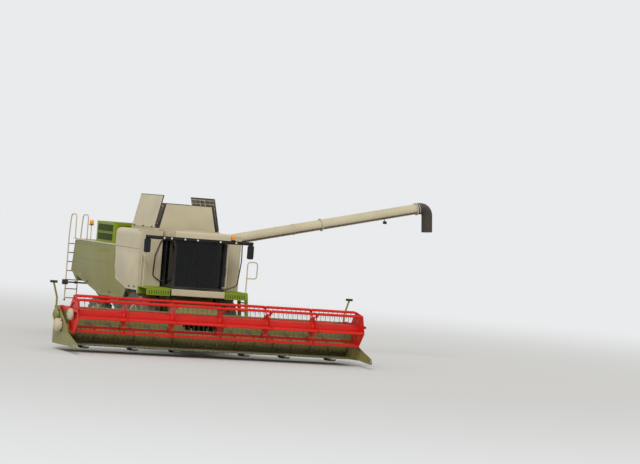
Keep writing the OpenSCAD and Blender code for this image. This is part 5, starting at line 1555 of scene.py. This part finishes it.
@dataclass
class Studio:
    """Floor, light and the camera at the photograph's angle."""

    azimuth_deg: float = -19.87
    elevation_deg: float = 2.16
    distance: float = 71.6
    roll_deg: float = 4.43
    focal_px: float = 2350.0
    target: Triple = (0.0, -1.0, 2.0)
    target_px: tuple[float, float] = (193.6, 287.2)
    backdrop: str = "e9ebec"
    fade_from: float = 11.0
    fade_to: float = 42.0
    floor_radius: float = 260.0
    sky: float = 0.62
    key: float = 1.5
    key_spread_deg: float = 25
    key_turn_deg: Triple = (48, 8, -38)

    def place(self, name: str, data: bpy.types.ID) -> Object:
        """Links a new object to the scene.

        Args:
            name: The object's name.
            data: What it shows: a camera, a mesh or a light.

        Returns:
            The new object.
        """
        thing = bpy.data.objects.new(name, data)
        bpy.context.scene.collection.objects.link(thing)
        return thing

    def camera(self) -> None:
        """Places the camera so that the machine falls where it does in the photograph."""
        az, el, roll = (math.radians(v) for v in (self.azimuth_deg, self.elevation_deg, self.roll_deg))
        back = Vector((math.sin(az) * math.cos(el), -math.cos(az) * math.cos(el), math.sin(el)))
        level = Vector((math.cos(az), math.sin(az), 0))
        upright = back.cross(level)
        right = level * math.cos(roll) + upright * math.sin(roll)
        up = upright * math.cos(roll) - level * math.sin(roll)
        aside = (PHOTO_WIDTH_PX / 2 - self.target_px[0]) / self.focal_px
        above = (self.target_px[1] - PHOTO_HEIGHT_PX / 2) / self.focal_px
        forward = (right * aside + up * above - back).normalized()
        side = forward.cross(up).normalized()
        data = bpy.data.cameras.new("photo_camera")
        data.sensor_width = SENSOR_MM
        data.lens = self.focal_px * SENSOR_MM / PHOTO_WIDTH_PX
        data.clip_end = 500
        eye = self.place("photo_camera", data)
        turn = Matrix((side, side.cross(forward), -forward)).transposed()
        eye.matrix_world = Matrix.Translation(at(*self.target) + back * self.distance) @ turn.to_4x4()
        bpy.context.scene.camera = eye

    def seen(self, tree: NodeTree) -> NodeSocket:
        """Tells what looks at a surface from what it lights.

        Args:
            tree: The material's or world's nodes.

        Returns:
            1 where camera, reflection or glass looks at the surface, and 0 elsewhere.
        """
        path = add_node(tree, "LightPath").outputs
        seen = path["Is Camera Ray"]
        for ray in ("Is Glossy Ray", "Is Transmission Ray"):
            seen = add_node(tree, "Math", {0: seen, 1: path[ray]}, operation="MAXIMUM").outputs[0]
        return seen

    def floor(self) -> None:
        """Lays the plain pale floor, which fades into the background away from the machine."""
        mesh = bmesh.new()
        bmesh.ops.create_circle(mesh, cap_ends=True, segments=96, radius=self.floor_radius)
        data = bpy.data.meshes.new("floor")
        mesh.to_mesh(data)
        mesh.free()
        material = bpy.data.materials.new("pale_floor")
        tree = empty_tree(material)
        matt = add_node(tree, "BsdfDiffuse", {"Color": linear("dcdad6")})
        glow = add_node(tree, "Emission", {"Color": linear(self.backdrop), "Strength": 1.0})
        place = add_node(tree, "NewGeometry").outputs["Position"]
        away = add_node(tree, "VectorMath", {0: place}, operation="LENGTH").outputs["Value"]
        fade = add_node(tree, "MapRange", {"Value": away, "From Min": self.fade_from,
                                           "From Max": self.fade_to}, interpolation_type="SMOOTHSTEP")
        seen = add_node(tree, "Math", {0: fade.outputs[0], 1: self.seen(tree)}, operation="MULTIPLY")
        mix = add_node(tree, "MixShader", {0: seen.outputs[0], 1: matt.outputs[0], 2: glow.outputs[0]})
        add_node(tree, "OutputMaterial", {"Surface": mix.outputs[0]})
        data.materials.append(material)
        self.place("floor", data)

    def light(self) -> None:
        """Lights the machine from a pale sky and one broad soft key."""
        world = bpy.data.worlds.new("pale_sky")
        bpy.context.scene.world = world
        tree = empty_tree(world)
        lit = add_node(tree, "Background", {"Color": linear("f4f6f8"), "Strength": self.sky})
        shown = add_node(tree, "Background", {"Color": linear(self.backdrop), "Strength": 1.0})
        mix = add_node(tree, "MixShader", {0: self.seen(tree), 1: lit.outputs[0], 2: shown.outputs[0]})
        add_node(tree, "OutputWorld", {"Surface": mix.outputs[0]})
        sun = bpy.data.lights.new("soft_key", "SUN")
        sun.energy = self.key
        sun.angle = math.radians(self.key_spread_deg)
        self.place("soft_key", sun).rotation_euler = [math.radians(turn) for turn in self.key_turn_deg]

    def build(self) -> None:
        """Sets up camera, floor, light and plain colour."""
        bpy.context.scene.view_settings.view_transform = "Standard"
        self.camera()
        self.floor()
        self.light()


def main() -> None:
    """Builds the studio, dresses the machine and reports each piece."""
    logging.basicConfig(level=logging.INFO, format="%(name)s: %(message)s")
    Studio().build()
    for finish, names in NODE_FINISH.items():
        for name in names.split():
            dress(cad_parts[name], finish)
            LOG.info("dressed %s in %s", name, finish.name)
    wheels = [wheel for side, name in SIDES for wheel in (
        Wheel("front", name, side, bead_radius=0.4065, disc_offset=0.134, hub_radius=0.15, nuts=10,
              cap_length=0.13),
        Wheel("rear", name, side, bead_radius=0.33, disc_offset=0.054, hub_radius=0.11, nuts=8,
              cap_length=0.11))]
    for part in (Reel(), TableAuger(), *wheels, Lamps(), Unloader(), Cab(), Header(), Panels(), EngineDeck(),
                 Flanks(), Rails()):
        part.build()


if __name__ == "__main__":
    main()
